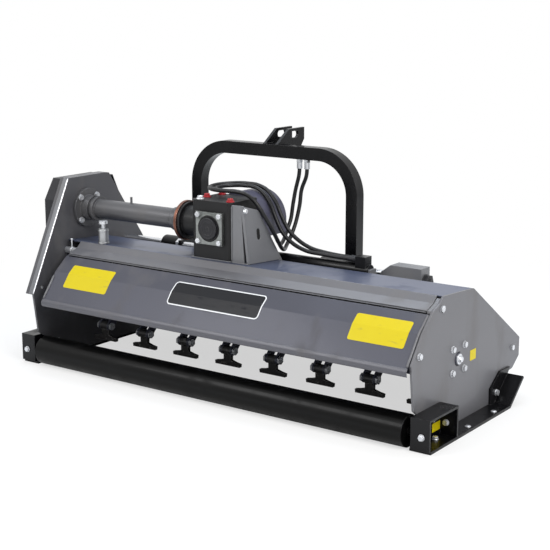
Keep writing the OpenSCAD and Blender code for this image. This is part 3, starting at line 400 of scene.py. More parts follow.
# %% Worn paint
def worn_paint(name, paint, dust, steel):
    part = Finish(name, Specular_IOR_Level=0.5)
    soft, rim = part.round_edges(0.004)
    chips = part.band(part.noise(60.0, 6.0), 0.58, 0.66)
    bare = (rim * part.band(part.noise(24.0, 4.0), 0.35, 0.55) + 0.55 * chips).clear()
    # The second colour is dust on the flails; on the drum it is bluish, a painted reflection.
    colour = part.between(part.noise(8.0, 5.0), paint, dust)
    part.feed(Base_Color=part.between(bare, colour, steel), Metallic=0.9 * bare, Roughness=0.5 - 0.16 * bare)
    part.bump(part.noise(180.0, 4.0), 0.3, 0.0006, soft)
    return part.material


# The drum's dark paint is tinted blue in both its colours: a painted reflection of the sky on real dark paint.
rotor_dark_painted_sheen = worn_paint("rotor_dark_painted_sheen", tone(40, 43, 58), tone(58, 60, 74), tone(110, 110, 116))
flail_dark = worn_paint("flail_dark", tone(22, 22, 25), tone(46, 45, 44), tone(128, 126, 124))
print("worn paints mixed")

# %% [markdown]
# ## Lines and tubes
#
# Hoses, weld beads and rolled edges are all tubes along a line. A spline through given points gives a
# smooth line, and rings set square to it give the tube. A curve object could do this too, but rings keep every
# point known, so that a width may change along the way.

# %% Lines and tubes
def smooth_line(points, steps):
    """Points along a spline that passes through each given point."""
    line = []
    last = len(points) - 1
    for i in range(last):
        a, b, c, d = (points[min(max(i + k, 0), last)] for k in (-1, 0, 1, 2))
        for k in range(steps):
            t = k / steps
            line.append(0.5 * (2 * b + (c - a) * t + (2 * a - 5 * b + 4 * c - d) * t * t
                               + (3 * b - a - 3 * c + d) * t ** 3))
    return line + [points[last]]


def tube_rings(line, sides, radius):
    """Rings square to the line; the first side vector is carried along so the tube doesn't twist."""
    rings = []
    side = frame_of(line[1] - line[0])[0]
    turns = [2 * math.pi * j / sides for j in range(sides)]
    for i, point in enumerate(line):
        along = (line[min(i + 1, len(line) - 1)] - line[max(i - 1, 0)]).normalized()
        side = (side - along * side.dot(along)).normalized()
        across = along.cross(side)
        rings.append([point + (side * math.cos(a) + across * math.sin(a)) * radius(i) for a in turns])
    return rings


print("tube helpers ready")

# %% [markdown]
# ## Hoses
#
# Two hydraulic hoses leave the couplers under the headstock's crossbar, hang behind the drive guard, turn once
# over the gearbox and end at the port block of the shift cylinder. They are rubber over a wire braid, and the
# outer skin still shows the wrap it was cured in, so every second ring is a little thinner. On the machine the
# hanging part bends with the side shift; here each hose is one piece that rides on none of the bodies.

# %% Hose routes
ROUTES = {
    "hose_a": [(17.09, 171, 801.6), (13, 171, 768), (-1, 169, 713), (-7, 160, 655), (-7, 146, 600),
               (-6, 118, 558), (8, 76, 528), (26, 30, 520), (44, -12, 536), (54, -46, 568), (52, -76, 612),
               (38, -102, 657), (22, -115, 690), (0, -124, 717), (-32, -130, 734), (-72, -133, 739),
               (-104, -134, 738), (-132, -134, 737), (-160, -128, 736), (-184, -112, 736), (-200, -88, 736),
               (-206, -60, 736), (-200, -32, 737), (-184, -8, 737), (-160, 8, 738), (-132, 14, 738),
               (-92, 14, 737), (-46, 8, 722), (-4, 0, 684), (28, -8, 630), (60, -6, 574), (104, 4, 533),
               (162, 12, 510), (225, 16, 505), (290, 16, 503), (350.05, 15.99, 503)],
    "hose_b": [(53.09, 171, 801.6), (48, 171, 768), (28, 169, 716), (24, 162, 655), (20, 142, 590),
               (20, 110, 541), (30, 64, 510), (54, 16, 504), (74, -32, 520), (82, -70, 556), (75, -100, 606),
               (60, -122, 652), (46, -134, 684), (24, -145, 715), (-8, -152, 736), (-52, -156, 742),
               (-94, -157, 741), (-132, -156, 740), (-169, -149, 740), (-200, -128, 740), (-221, -97, 740),
               (-228, -60, 741), (-221, -23, 742), (-200, 8, 743), (-169, 29, 744), (-132, 36, 744),
               (-90, 36, 742), (-40, 30, 727), (6, 20, 690), (40, 14, 636), (74, 16, 582), (116, 26, 543),
               (168, 34, 518), (228, 38, 508), (292, 38, 504), (350.05, 37.99, 503)],
}
print("routes", {name: len(points) for name, points in ROUTES.items()})

# %% Hoses
hose_rubber = black_finish("hose_rubber", tone(15, 15, 17), tone(36, 36, 38), 0.36, 0.1, 700.0, 0.0004,
                           wear=0.0)
SWAY = at(0, -110, -80)


def hose_piece(name):
    line = smooth_line([at(*p) for p in ROUTES[name]], 9)
    length = sum((b - a).length for a, b in zip(line, line[1:]))
    mesh = bmesh.new()
    skin(mesh, tube_rings(line, 14, lambda i: (7.9 + 0.1 * (i % 2)) * MM))
    made = piece(name + "_skin", mesh, [hose_rubber], None, 60)
    line[0] + SWAY
    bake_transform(made)
    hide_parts(name)
    print(name, "length", round(length, 3), "m")


hose_piece("hose_a")
hose_piece("hose_b")

# %% [markdown]
# ## Finishes on the solids
#
# Solids whose shape is right stay as they are and only take a finish. A table of finish and node names keeps
# this readable, and the last line names what has none: the hoses, and the plugs that are replaced further on.

# %% Finishes on nodes
flails = ["flail_%02d" % (i + 1) for i in range(16)]
COATS = [
    (deck_grey, ["front_panel", "front_beam", "hinge_rail", "right_end_plate"]),
    (top_grey_painted_reflection, ["top_panel"]),
    (plate_grey_painted_shade, ["left_end_plate"]),
    (hood_grey_painted_shade, ["hood"]),
    (bracket_grey, ["gearbox_support", "slide_brackets"]),
    (tube_grey, ["drive_tube"]),
    (gloss_black, ["skids", "roller_brackets", "headstock_frame", "top_link_lugs", "hitch_cheeks",
                   "guide_sleeves", "shift_barrel"]),
    (roller_black, ["roller"]),
    (guard_grey, ["belt_guard", "hose_fittings"]),
    (cast_black, ["gearbox_housing", "bearings", "rotor_pulley"]),
    (guard_plastic, ["shaft_guard"]),
    (curtain_rubber, ["front_curtain", "belts"]),
    (zinc, ["pivot_rods", "deck_bolts", "hitch_pins", "plunger_pin", "flail_bolts"]),
    (chrome, ["guide_bars", "shift_rod", "hose_couplers"]),
    (machined, ["drive_shaft", "input_shaft", "plunger_body"]),
    (cover_metal, ["gearbox_covers"]),
    (copper, ["clamp_ring"]),
    (rotor_dark_painted_sheen, ["rotor_drum"]),
    (flail_dark, flails),
]
for material, names in COATS:
    for name in names:
        mesh = nodes[name].data
        mesh.materials.clear()
        mesh.materials.append(material)
coated = {name for _, names in COATS for name in names}
print("without a finish:", sorted(set(nodes) - coated))

# %% [markdown]
# ## Places on the hood
#
# The hood is one sheet with a fold, so a film on it has to bend. Its upper and lower face are described by
# three points of the section, and one function turns a distance from the fold into a point just above the sheet.

# %% Places on the hood
HOOD = [Vector((0, -0.33803, 0.43699)), Vector((0, -0.40207, 0.384)), Vector((0, -0.48605, 0.27399))]


def on_hood(x, s, lift):
    """A point on the hood: s runs up from the fold on the upper face, and down from it when negative."""
    up = (HOOD[0] - HOOD[1]).normalized()
    down = (HOOD[2] - HOOD[1]).normalized()
    upper_out = Vector((0, -up.z, up.y))
    lower_out = Vector((0, down.z, -down.y))
    fold = Vector((x, 0, 0)) + HOOD[1]
    if abs(s) < 1e-6:
        out = (upper_out + lower_out).normalized()
        return fold + out / out.dot(upper_out) * lift
    if s > 0:
        return fold + up * s + upper_out * lift
    return fold + down * -s + lower_out * lift


print("fold at", [round(v, 3) for v in HOOD[1]])

# %% [markdown]
# ## Film patches and the badge plate
#
# The hood carries two blank yellow film patches, folded over its bend, and a dark plate with a pale border in
# its middle. A patch is a rounded rectangle drawn in two halves that share the fold line, so it lies on both
# faces of the hood, and a thin solid edge keeps it a real film.

# %% Film shapes
def rounded_half(x0, x1, s, r):
    """The half outline beyond the fold, from its left end round to its right end."""
    sign = 1 if s > 0 else -1
    outline = [(x0, 0.0)]
    for cx, start in ((x0 + r, 180), (x1 - r, 90)):
        for k in range(7):
            a = math.radians(start - 15 * k)
            outline.append((cx + r * math.cos(a), s - sign * r + sign * r * math.sin(a)))
    return outline + [(x1, 0.0)]


def film(name, x0, x1, up, down, radius, materials, border=0.0, lift=0.0007):
    """A film in two halves that share the fold; a border is a ring of its own finish."""
    mesh = bmesh.new()
    made = {}

    def corner(x, t):
        key = (round(x, 5), round(t, 5))
        if key not in made:
            made[key] = mesh.verts.new(on_hood(x, t, lift))
        return made[key]

    for s in (up, -down):
        outer = rounded_half(x0, x1, s, radius)
        inner = outer
        if border:
            inner = rounded_half(x0 + border, x1 - border, s - math.copysign(border, s), radius - border)
            for i in range(len(outer) - 1):
                quad = [corner(*outer[i]), corner(*outer[i + 1]), corner(*inner[i + 1]), corner(*inner[i])]
                mesh.faces.new(quad).material_index = 1
        mesh.faces.new([corner(*p) for p in inner])
    bmesh.ops.recalc_face_normals(mesh, faces=mesh.faces)
    bmesh.ops.solidify(mesh, geom=list(mesh.faces), thickness=lift * 0.9)
    piece(name, mesh, materials, "rear_hood", 0)
    print(name, "on the hood, x", round(x0, 3), "to", round(x1, 3))


print("film shapes ready")

# %% [markdown]
# ## The film's own finish
#
# Printed film is a flat colour that fades in clouds and gets scuffed along the machine. The plate and the red
# plastic of the plugs age the same way, so they share the recipe.

# %% Films on the hood
def film_finish(name, base, faded, rough, shine=0.4, scuffs=0.25, dirt=tone(120, 112, 88)):
    sheet = Finish(name, Specular_IOR_Level=shine, Coat_Roughness=0.2)
    cloud = sheet.noise(22.0, 5.0)
    scuff = sheet.band(sheet.noise(90.0, 5.0, (0.25, 1.0, 1.0)), 0.6, 0.72)
    colour = sheet.between(cloud * 0.6, base, faded)
    colour = sheet.between(scuff * scuffs, colour, dirt)
    sheet.feed(Base_Color=colour, Roughness=rough + 0.15 * cloud + 0.2 * scuff, Coat_Weight=0.1 - 0.1 * scuff)
    sheet.bump(sheet.noise(160.0, 3.0), 0.1, 0.0002)
    return sheet.material


yellow_film = film_finish("yellow_film", tone(203, 185, 4), tone(193, 173, 9), 0.4, 0.22)
plate_dark = film_finish("plate_dark", tone(8, 9, 14), tone(15, 17, 24), 0.4, 0.2, 0.12, tone(44, 46, 52))
plate_pale = film_finish("plate_pale", tone(226, 228, 230), tone(206, 208, 210), 0.34)
film("film_left", -0.706, -0.479, 0.044, 0.061, 0.008, [yellow_film])
film("film_right", 0.633, 0.853, 0.044, 0.061, 0.008, [yellow_film])
film("badge_plate", -0.172, 0.252, 0.05, 0.052, 0.016, [plate_dark, plate_pale], 0.0045, 0.0012)

# %% [markdown]
# ## Small films on the right end
#
# Two more blank films sit on upright faces, one by the rotor's bearing and one in the roller bracket. They
# don't fold, so each is a rounded outline with a slightly smaller top, like any sheet with a cut edge.

# %% Films on the right end
FILM_CORNER = 3


def end_film(name, x, y, z, wide, tall):
    """A small blank film on an upright face that looks along X."""
    outline = []
    for sy, sz, start in ((1, 1, 0), (-1, 1, 90), (-1, -1, 180), (1, -1, 270)):
        for k in range(5):
            a = math.radians(start + 22.5 * k)
            outline.append((sy * (wide / 2 - FILM_CORNER) + FILM_CORNER * math.cos(a),
                            sz * (tall / 2 - FILM_CORNER) + FILM_CORNER * math.sin(a)))
    mesh = bmesh.new()
    skin(mesh, [[at(x + height, y + u * scale, z + v * scale) for u, v in outline]
                for height, scale in ((0.1, 1), (0.6, 1), (0.8, 0.985))])
    piece(name, mesh, [yellow_film], "deck", 0)
    print(name, "on an upright face at x", x)


end_film("film_end_plate", 904, -34, 232, 44, 38)
end_film("film_bracket", 912, -307, 44, 56, 31)

# %% [markdown]
# ## Plugs on the gearbox
#
# The top of the gearbox has red plastic plugs for the oil and one plated breather. Each is a turned flange with
# a hexagon on it. They stand where the plain plugs of the solid model stand, and replace them.

# %% Gearbox plugs
red_plastic = film_finish("red_plastic", tone(164, 26, 36), tone(140, 26, 34), 0.34)
GEARBOX_TOP = 712
PLUG_FLANGE = [(16, 0), (16, 3.2), (15.2, 4.2), (12.8, 4.4)]
PLUG_HEAD = [(12.2, 4.0), (12.2, 11.6), (10.8, 13.1), (6.4, 13.1), (5.4, 10.6), (0.5, 10.4)]
PLUGS = [("plug_breather", -169.7, -223.99, zinc), ("plug_right", -31, -216.79, red_plastic),
         ("plug_front", -175.4, -83.59, red_plastic), ("plug_left", -183, -166.39, red_plastic)]
for name, x, y, finish in PLUGS:
    mesh = bmesh.new()
    turned(mesh, PLUG_FLANGE, at(x, y, GEARBOX_TOP), UP, 28)
    turned(mesh, PLUG_HEAD, at(x, y, GEARBOX_TOP), UP, 6, 0.3)
    plug = piece(name, mesh, [finish], "deck", 20)
    if name == "plug_breather":
        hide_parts("gearbox_plugs")
print("plugs", len(PLUGS))

# %% [markdown]
# ## Bearing cover of the gearbox
#
# The rear cover is a light square frame with a dark, ribbed cap in the middle. The square is a solid already;
# the dark field and the cap are turned on a lathe and laid on it, with rings that catch the light.

# %% Gearbox cover
GEAR_X, DRIVE_Z = -107, 608
COVER_FIELD = [(51, 0.05), (51, 0.8), (50, 1.2), (41.5, 1.2)]
COVER_CAP = [(41.4, -6.5), (41.6, 0.6), (40.2, 1.7), (36.5, 1.9), (35.6, 1.2), (29.5, 1.2), (28.6, 1.9),
             (24.5, 1.9), (23.6, 1.1), (9, 1.1), (8.2, 2.0), (0.6, 2.2)]
mesh = bmesh.new()
turned(mesh, COVER_FIELD, at(GEAR_X, -254, DRIVE_Z), REAR, 48)
field = piece("cover_field", mesh, [cast_black], "deck", 20)
mesh = bmesh.new()
turned(mesh, COVER_CAP, at(GEAR_X, -262.4, DRIVE_Z), REAR, 48)
cap = piece("cover_cap", mesh, [guard_grey], "deck", 40)
print("cover faces", len(field.data.polygons) + len(cap.data.polygons))

# %% [markdown]
# ## Bolt of the rotor's stub and nut of the slide bar
#
# The rotor's stub is held by a plated bolt on a thick washer, and the slide bar by a large nut. A hexagon head
# has a chamfered crown and a washer face, so it is skinned from three kinds of ring instead of a plain prism.

# %% Stub bolt and bar nut
def hexagon(mesh, centre, axis, across, height, washer, turn):
    """A head as wide as across over its flats, on a washer of the given radius."""
    r = across / math.sqrt(3)
    face = [(washer, 0), (washer, 1.8), (washer - 0.6, 2.3), (r * 0.8, 2.3)]
    head = [(r * 0.98, 2.1), (r, 2.8), (r, height - 1.2), (r * 0.86, height), (r * 0.3, height + 0.1)]
    turned(mesh, face, centre, axis, 28)
    turned(mesh, head, centre, axis, 6, turn)


STUB, STUB_HEAD = at(906.45, -145.09, 242.04), at(911.6, -145.09, 242.04)
STUB_WASHER = [(19, 0), (19.4, 0.6), (19.4, 4.2), (18.4, 5.2), (9, 5.2)]
mesh = bmesh.new()
turned(mesh, STUB_WASHER, STUB, RIGHT, 36)
hexagon(mesh, STUB_HEAD, RIGHT, 19, 9, 11.5, 0.2)
piece("stub_bolt", mesh, [zinc], "rotor", 25)

BAR_END = at(631.5, 106, 435)
BAR_THREAD = [(11, 19), (11, 24), (10, 25.5), (0.6, 25.5)]
mesh = bmesh.new()
hexagon(mesh, BAR_END, RIGHT, 46, 20, 27, 0.1)
turned(mesh, BAR_THREAD, BAR_END, RIGHT, 24)
piece("bar_nut", mesh, [guard_grey], "deck", 25)
print("stub bolt and bar nut made")

# %% [markdown]
# ## Bolts of the roller brackets and skids
#
# Hexagon bolts hold the roller brackets to their walls and to the soles, and two low coach heads show on each
# sole. The left end is the right end's mirror, moved inwards, so one loop over both ends places all ten.

# %% Bracket bolts
ENDS = ((1, 0), (-1, 56))
BRACKET_HEADS = [(946, -469.1, 57, REAR, 9, 0.4), (934, -277.1, 54, REAR, 9, 0.7), (926, -337, 10, UP, 10, 0.2)]
SOLE_HEADS = [(956, -157, 10), (956, 43, 10)]
COACH_HEAD = [(11, 0), (10.6, 1.6), (8.4, 3.4), (4.6, 4.5), (0.5, 4.8)]
mesh = bmesh.new()
for mirror, shift in ENDS:
    for x, y, z, axis, height, turn in BRACKET_HEADS:
        hexagon(mesh, at(shift + mirror * x, y, z), axis, 19, height, 12, turn)
    for x, y, z in SOLE_HEADS:
        turned(mesh, COACH_HEAD, at(shift + mirror * x, y, z), UP, 24)
piece("bracket_bolts", mesh, [zinc], "deck", 25)
print("bracket bolts", len(ENDS) * (len(BRACKET_HEADS) + len(SOLE_HEADS)))

# %% [markdown]
# ## Small hardware by the gearbox and the left pivot
#
# One bolt clamps the leaning web of the gearbox support. The hood's left pivot is kept by a clip: a pin with a
# small head through a collar. The plunger's body carries two turned rings that the fingers grip.

# %% Clip and rings
SUPPORT_BOLT, WEB_OUT = at(40.9, -222, 684), (0.992, 0, 0.127)
mesh = bmesh.new()
hexagon(mesh, SUPPORT_BOLT, WEB_OUT, 17, 9, 11, 0.3)
piece("support_bolt", mesh, [zinc], "deck", 25)

CLIP_X, PIVOT_Y, PIVOT_Z = -812, -273, 446
CLIP_PIN = [(3.2, 12), (3.2, 43), (5.4, 44), (5.4, 48), (4.4, 49.5), (0.5, 49.6)]
CLIP_COLLAR = [(15.2, -5), (15.2, 4), (14.4, 5), (13.6, 5)]
mesh = bmesh.new()
turned(mesh, CLIP_PIN, at(CLIP_X, PIVOT_Y, PIVOT_Z), UP, 18)
turned(mesh, CLIP_COLLAR, at(CLIP_X, PIVOT_Y, PIVOT_Z), RIGHT, 32)
piece("pivot_clip", mesh, [zinc], "deck", 30)

PLUNGER_X, PLUNGER_Y, DECK_TOP = -663.6, -241.15, 487
PLUNGER_RINGS = [(DECK_TOP, [(20.1, 0), (22.6, 0.3), (22.8, 5), (21.6, 6.6), (20.1, 6.8)]),
                 (DECK_TOP + 49, [(20.1, 0), (21.4, 0.8), (21.6, 6), (20.8, 7.2), (20.1, 7.4)])]
mesh = bmesh.new()
for foot, profile in PLUNGER_RINGS:
    turned(mesh, profile, at(PLUNGER_X, PLUNGER_Y, foot), UP, 36)
piece("plunger_rings", mesh, [machined], "deck", 30)
print("support bolt, clip and rings made")

# %% [markdown]
# ## Weld beads
#
# A welded machine shows its seams: a bead is a row of overlapping ripples about as thick as the plate. Each
# bead is a tube whose width swells and shrinks every few millimetres, laid along the joint and painted over.

# %% Straight welds
def ripple(i):
    return 0.85 + 0.15 * math.cos(i * math.pi)


def weld(mesh, start, end, width=3.2):
    steps = max(6, int((end - start).length / (2.2 * MM)))
    line = [start.lerp(end, k / steps) for k in range(steps + 1)]
    ends = {0: 0.35, steps: 0.35}
    skin(mesh, tube_rings(line, 8, lambda i: width * MM * ends.get(i, ripple(i))))


LUG_SPREAD, LUG_HALF, LUG_FOOT = 30, 7.5, 891.5
mesh = bmesh.new()
for side in (-1, 1):
    for face in (-1, 1):
        x = GEAR_X + side * LUG_SPREAD + face * LUG_HALF
        weld(mesh, at(x, 147, LUG_FOOT), at(x, 194, LUG_FOOT))
piece("lug_welds", mesh, [gloss_black], "headstock", 50)

SUPPORT_REAR = -236
mesh = bmesh.new()
weld(mesh, at(-10, SUPPORT_REAR, DECK_TOP), at(66, SUPPORT_REAR, DECK_TOP))
weld(mesh, at(-11, SUPPORT_REAR, DECK_TOP + 5), at(-11, SUPPORT_REAR, 700), 2.4)
piece("support_welds", mesh, [bracket_grey], "deck", 50)
print("straight welds laid")

# %% [markdown]
# ## Welds round the drive tube
#
# The drive tube is welded to a flange at either end. The bead closes on itself, so its last ring is joined to
# its first instead of being capped.

# %% Ring welds
DRIVE_Y = -151.99
BEAD, TUBE_RADIUS = 3.0, 41.5


def weld_ring(mesh, x):
    steps = int(2 * math.pi * TUBE_RADIUS / 3)
    rings = []
    for i in range(steps):
        a = 2 * math.pi * i / steps
        out = Vector((0, math.cos(a), math.sin(a)))
        middle = at(x, DRIVE_Y, DRIVE_Z) + out * TUBE_RADIUS * MM
        turns = [2 * math.pi * j / 8 for j in range(8)]
        rings.append([middle + (out * math.cos(b) + Vector(RIGHT) * math.sin(b)) * BEAD * ripple(i) * MM
                      for b in turns])
    skin(mesh, rings + [rings[0]], False)
    bmesh.ops.remove_doubles(mesh, verts=mesh.verts, dist=1e-6)


for name, x in (("tube_weld_left", -787.5), ("tube_weld_right", -353.5)):
    mesh = bmesh.new()
    weld_ring(mesh, x)
    piece(name, mesh, [tube_grey], "deck", 50)
print("ring welds laid")

# %% [markdown]
# ## The painted highlight on the left plate's edge
#
# The rear flange of the tall plate ends in a cut edge that catches the light as one long bright line. That line
# is a painted highlight: a pale metal strip laid along the edge. A flat strip would look like tape, so it is a
# shallow crown with tapered ends.

# %% Edge highlight
foot, head = at(-844, -471, 292), at(-844, -251, 740)
out = Vector((0, foot.z - head.z, head.y - foot.y)).normalized()


def along_edge(section, stations):
    """The section's points at each share of the way up, as across and rise in millimetres."""
    return [[foot.lerp(head, share) + (Vector((across * wide, 0, 0)) + out * rise * high) * MM
             for across, rise in section] for share, wide, high in stations]


CROWN = [(-3.9, 0.1), (-3.6, 0.7), (-2.2, 1.3), (0, 1.5), (2.2, 1.3), (3.6, 0.7), (3.9, 0.1)]
CROWN_STATIONS = [(0.004, 0.3, 0.3), (0.012, 0.85, 0.85), (0.03, 1, 1), (0.25, 1, 1), (0.5, 1, 1), (0.75, 1, 1),
                  (0.97, 1, 1), (0.988, 0.85, 0.85), (0.996, 0.3, 0.3)]
mesh = bmesh.new()
skin(mesh, along_edge(CROWN, CROWN_STATIONS))
piece("rim_highlight", mesh, [edge_highlight_metal], "deck", 40)
print("edge length", round((head - foot).length, 3))

# %% [markdown]
# ## The rubbed band beside that edge
#
# The flange behind that edge faces the open sky, so its face looks lighter than the plate; that light is painted
# here: a thin band in a lighter grey with rounded sides covers it, drawn along the same line as the edge.

# %% Flange band
BAND = [(-24.6, 0.1), (-24.2, 0.8), (-22.4, 1.0), (-6.5, 1.0), (-4.6, 0.8), (-4.2, 0.1)]
BAND_STATIONS = [(0.001, 1, 0.5), (0.005, 1, 1), (0.5, 1, 1), (0.995, 1, 1), (0.999, 1, 0.5)]
mesh = bmesh.new()
skin(mesh, along_edge(BAND, BAND_STATIONS))
piece("rim_lit_band", mesh, [bracket_grey], "deck", 40)
print("band width", round(BAND[-1][0] - BAND[0][0], 1), "mm")

# %% [markdown]
# ## The hem of the hood
#
# The hood's lower edge is folded over into a hem, so that the thin sheet doesn't drum. It wraps the lower
# corner of the sheet: up its face on one side and down the narrow lip on the other. One outline drawn along the
# machine is enough, because the fold is the same from end to end.

# %% Hood hem
CORNER = (-486.05, 273.99)
FACE_UP, FACE_OUT = (0.607, 0.795), (-0.795, 0.607)
LIP_DOWN, LIP_OUT = (0.218, -0.976), (-0.976, -0.218)


def from_corner(along, out_of, run, lift):
    """A point of the section, run along one side of the corner and lifted off it."""
    return tuple(c + run * a + lift * o for c, a, o in zip(CORNER, along, out_of))


HEM = ([from_corner(FACE_UP, FACE_OUT, *p) for p in ((13, 0.1), (12.6, 1.3), (11.2, 2.2), (0.8, 2.6))]
       + [from_corner(LIP_DOWN, LIP_OUT, *p) for p in ((0.8, 2.6), (15.6, 2.4), (17.6, 1.6), (18.2, 0.2))]
       + [(CORNER[0] + 0.15, CORNER[1])])
# The hem takes the lighter grey as a painted highlight along the lower edge.
mesh = bmesh.new()
skin(mesh, [[at(x, y, z) for y, z in HEM] for x in (-780, -400, 0, 400, 894)])
piece("hood_hem", mesh, [hem_grey_painted_light], "rear_hood", 30)
print("hem corners", len(HEM))

# %% [markdown]
# ## Rolled ends of the hood
#
# The two ends of the sheet are rolled for stiffness. Each roll is a tube partly sunk into the sheet: the right
# one runs over both faces, and the left one starts a little below the fold.

# %% Hood rolls
ROLL_RADIUS, ROLL_LIFT = 4.2, 0.0012
ROLLS = [(-776.8, -19), (890.2, 78)]
mesh = bmesh.new()
for x, top in ROLLS:
    stations = [top, top - 0.6, top - 3] + [s for s in (40, 2, -2, -40, -80) if s < top - 3]
    stations += [-118, -120.4, -121]
    edge = [on_hood(x * MM, s * MM, ROLL_LIFT) for s in stations]
    ends = {0: 0.3, 1: 0.8, len(edge) - 2: 0.8, len(edge) - 1: 0.3}
    skin(mesh, tube_rings(edge, 14, lambda i: ROLL_RADIUS * MM * ends.get(i, 1)))
# The rolls take the deck's grey, lighter than the hood's, as a painted highlight along the hood's ends.
piece("hood_rolls", mesh, [deck_grey], "rear_hood", 50)
print("rolls", len(ROLLS))

# %% [markdown]
# ## The saddle on the hood's right ear
#
# The hinge rail stops short of the end plate, because the hood's ear turns in that gap. A small saddle on the
# ear carries the rail's outline on to the plate while the hood is shut, and swings up with it.

# %% Ear saddle
SADDLE = [(-335.5, 438.0), (-333.2, 447.0), (-289, 463.2), (-268.5, 478.5), (-267.5, 466), (-283, 458.4)]
middle = [sum(p[k] for p in SADDLE) / len(SADDLE) for k in (0, 1)]
mesh = bmesh.new()
skin(mesh, [[at(x, *(m + (v - m) * scale for v, m in zip(point, middle))) for point in SADDLE]
            for x, scale in ((880.5, 0.96), (881.5, 1), (893.5, 1), (894.5, 0.96))])
piece("ear_saddle", mesh, [deck_grey], "rear_hood", 30)
print("saddle corners", len(SADDLE))

# %% [markdown]
# ## The blank in the support's slot
#
# The slot in the gearbox support looks dark from the shade inside it, and a dark rubber blank closes it as
# painted shade. It is a stadium outline laid in the leaning web: its face is set back and slightly domed, so the
# slot keeps a shadow of its own.

# %% Slot blank
SLOT_Y, SLOT_LOW, SLOT_HIGH, SLOT_RADIUS, SLOT_SIDES = -152.0, 577.4, 599.2, 11.2, 24
SLOT_MIDDLE, BLANK_X = 588.3, 48.6
LEAN = (47.5 - 42.0) / (610.0 - 566.4)
stadium = []
for k in range(SLOT_SIDES):
    a = 2 * math.pi * (k + 0.5) / SLOT_SIDES
    end = SLOT_HIGH if math.sin(a) > 0 else SLOT_LOW
    stadium.append((SLOT_RADIUS * math.cos(a), end + SLOT_RADIUS * math.sin(a) - SLOT_MIDDLE))
mesh = bmesh.new()
skin(mesh, [[at(BLANK_X - LEAN * rise * scale + depth, SLOT_Y + across * scale, SLOT_MIDDLE + rise * scale)
             for across, rise in stadium]
            for depth, scale in ((-1.5, 1), (0.6, 1), (1.2, 0.8), (1.5, 0.4))])
piece("slot_shade_blank", mesh, [curtain_rubber], "deck", 40)
print("blank corners", len(stadium))

# %% [markdown]
# ## The rolled lip of the hinge rail
#
# The rail ends in a thin rolled lip that narrows the slot above the hood. It stays inside the circle that the
# hood's upper edge draws round its hinge, so the hood still opens freely.

# %% Rail lip
LIP_RADIUS, LIP_Y, LIP_Z = 1.9, -333.8, 442.0
lip_line = [at(x, LIP_Y, LIP_Z) for x in (-768, -766.5, -764, -400, 0, 400, 873, 875.5, 877)]
lip_scale = {0: 0.4, 1: 0.85, 7: 0.85, 8: 0.4}
mesh = bmesh.new()
skin(mesh, tube_rings(lip_line, 12, lambda i: LIP_RADIUS * MM * lip_scale.get(i, 1)))
piece("rail_lip", mesh, [deck_grey], "deck", 50)
print("lip length", round((lip_line[-1] - lip_line[0]).length, 3))

# %% [markdown]
# ## Floor
#
# A plain pale floor carries the machine's shadow. Far from the machine it fades into the white behind it, and
# near it only part of the shadow is kept, because the picture's ground is almost white. A glow mixed in for the
# camera alone does both, so the floor's light on the machine stays true.

# %% Floor
bpy.context.scene.view_settings.view_transform = "Standard"
PALE_SHADOW = 0.62
FADE_FROM, FADE_TO = 1.3, 2.6
floor_mesh = bmesh.new()
bmesh.ops.create_grid(floor_mesh, x_segments=2, y_segments=2, size=30)
floor_data = bpy.data.meshes.new("floor")
floor_mesh.to_mesh(floor_data)
floor_mesh.free()
floor = bpy.data.objects.new("floor", floor_data)
bpy.context.scene.collection.objects.link(floor)

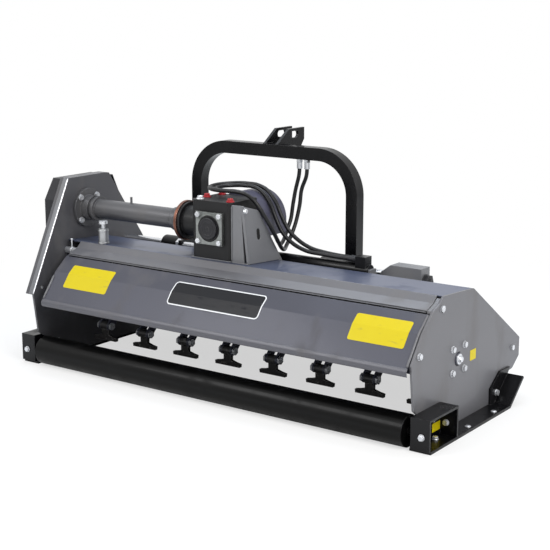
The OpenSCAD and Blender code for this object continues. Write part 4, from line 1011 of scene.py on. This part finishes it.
pale = Finish("floor_pale", Roughness=0.9, Specular_IOR_Level=0.1)
pale.feed(Base_Color=pale.between(pale.noise(0.8), tone(243, 243, 243), tone(247, 247, 247)))
reach = pale.node("ShaderNodeVectorMath", {"operation": "LENGTH"}, {0: pale.place}, "Value")
share = PALE_SHADOW + (1 - PALE_SHADOW) * pale.band(reach, FADE_FROM, FADE_TO)
seen = pale.node("ShaderNodeLightPath", output="Is Camera Ray")
glow = pale.node("ShaderNodeEmission", {}, {"Color": (1, 1, 1, 1), "Strength": 1.0})
lit = Wire(pale, pale.shader.outputs[0])
mixed = pale.node("ShaderNodeMixShader", {}, {0: share * seen, 1: lit, 2: glow})
pale.plug(pale.found("OUTPUT_MATERIAL"), {"Surface": mixed})
floor_data.materials.append(pale.material)
print("floor laid")

# %% [markdown]
# ## The world
#
# A studio has white walls. The world shows white to the camera and to reflections, so that black paint mirrors
# a bright room, and a calmer level to everything else, so that the lamps still shape the machine.

# %% World
HIDDEN_LEVEL = 0.55
world = bpy.data.worlds.new("studio")
bpy.context.scene.world = world
world.use_nodes = True
sky = Network(world.node_tree)
camera_ray, glossy_ray, clear_ray = (sky.node("ShaderNodeLightPath", output="Is %s Ray" % kind)
                                     for kind in ("Camera", "Glossy", "Transmission"))
white = (camera_ray + glossy_ray + clear_ray).clear()
sky.plug(sky.found("BACKGROUND"),
         {"Color": (1, 1, 1, 1), "Strength": HIDDEN_LEVEL + (1 - HIDDEN_LEVEL) * white})
print("world level", HIDDEN_LEVEL)

# %% [markdown]
# ## Lamps
#
# Three soft panels. The one from the right lights the end plate most, as in the picture, a cool one overhead
# adds a bluish sheen to the deck, whose top panel also has a painted bluish reflection in its grey, and a weak
# one behind opens the hood's shadows. Panels are used instead of points because a wide lamp gives the long soft
# highlights of sheet metal.

# %% Lamps
LAMPS = [
    ("right_panel", (4.2, -1.6, 3.4), (0.4, 0, 0.4), (2.4, 2.4), 168, (1, 0.99, 0.97)),
    ("top_panel_light", (-0.6, 1.2, 4.6), (0, 0, 0.3), (3.5, 2.5), 125, (0.8, 0.89, 1)),
    ("rear_panel", (-1.7, -3.0, 2.8), (0.3, -0.4, 0.3), (2.4, 1.4), 58, (1, 1, 1)),
]
for name, place, target, size, power, colour in LAMPS:
    lamp = bpy.data.lights.new(name, "AREA")
    lamp.shape = "RECTANGLE"
    lamp.size, lamp.size_y = size
    lamp.energy = power
    lamp.color = colour
    made = bpy.data.objects.new(name, lamp)
    made.location = place
    made.rotation_euler = (Vector(target) - Vector(place)).to_track_quat("-Z", "Y").to_euler()
    bpy.context.scene.collection.objects.link(made)
print("lamps", len(LAMPS))
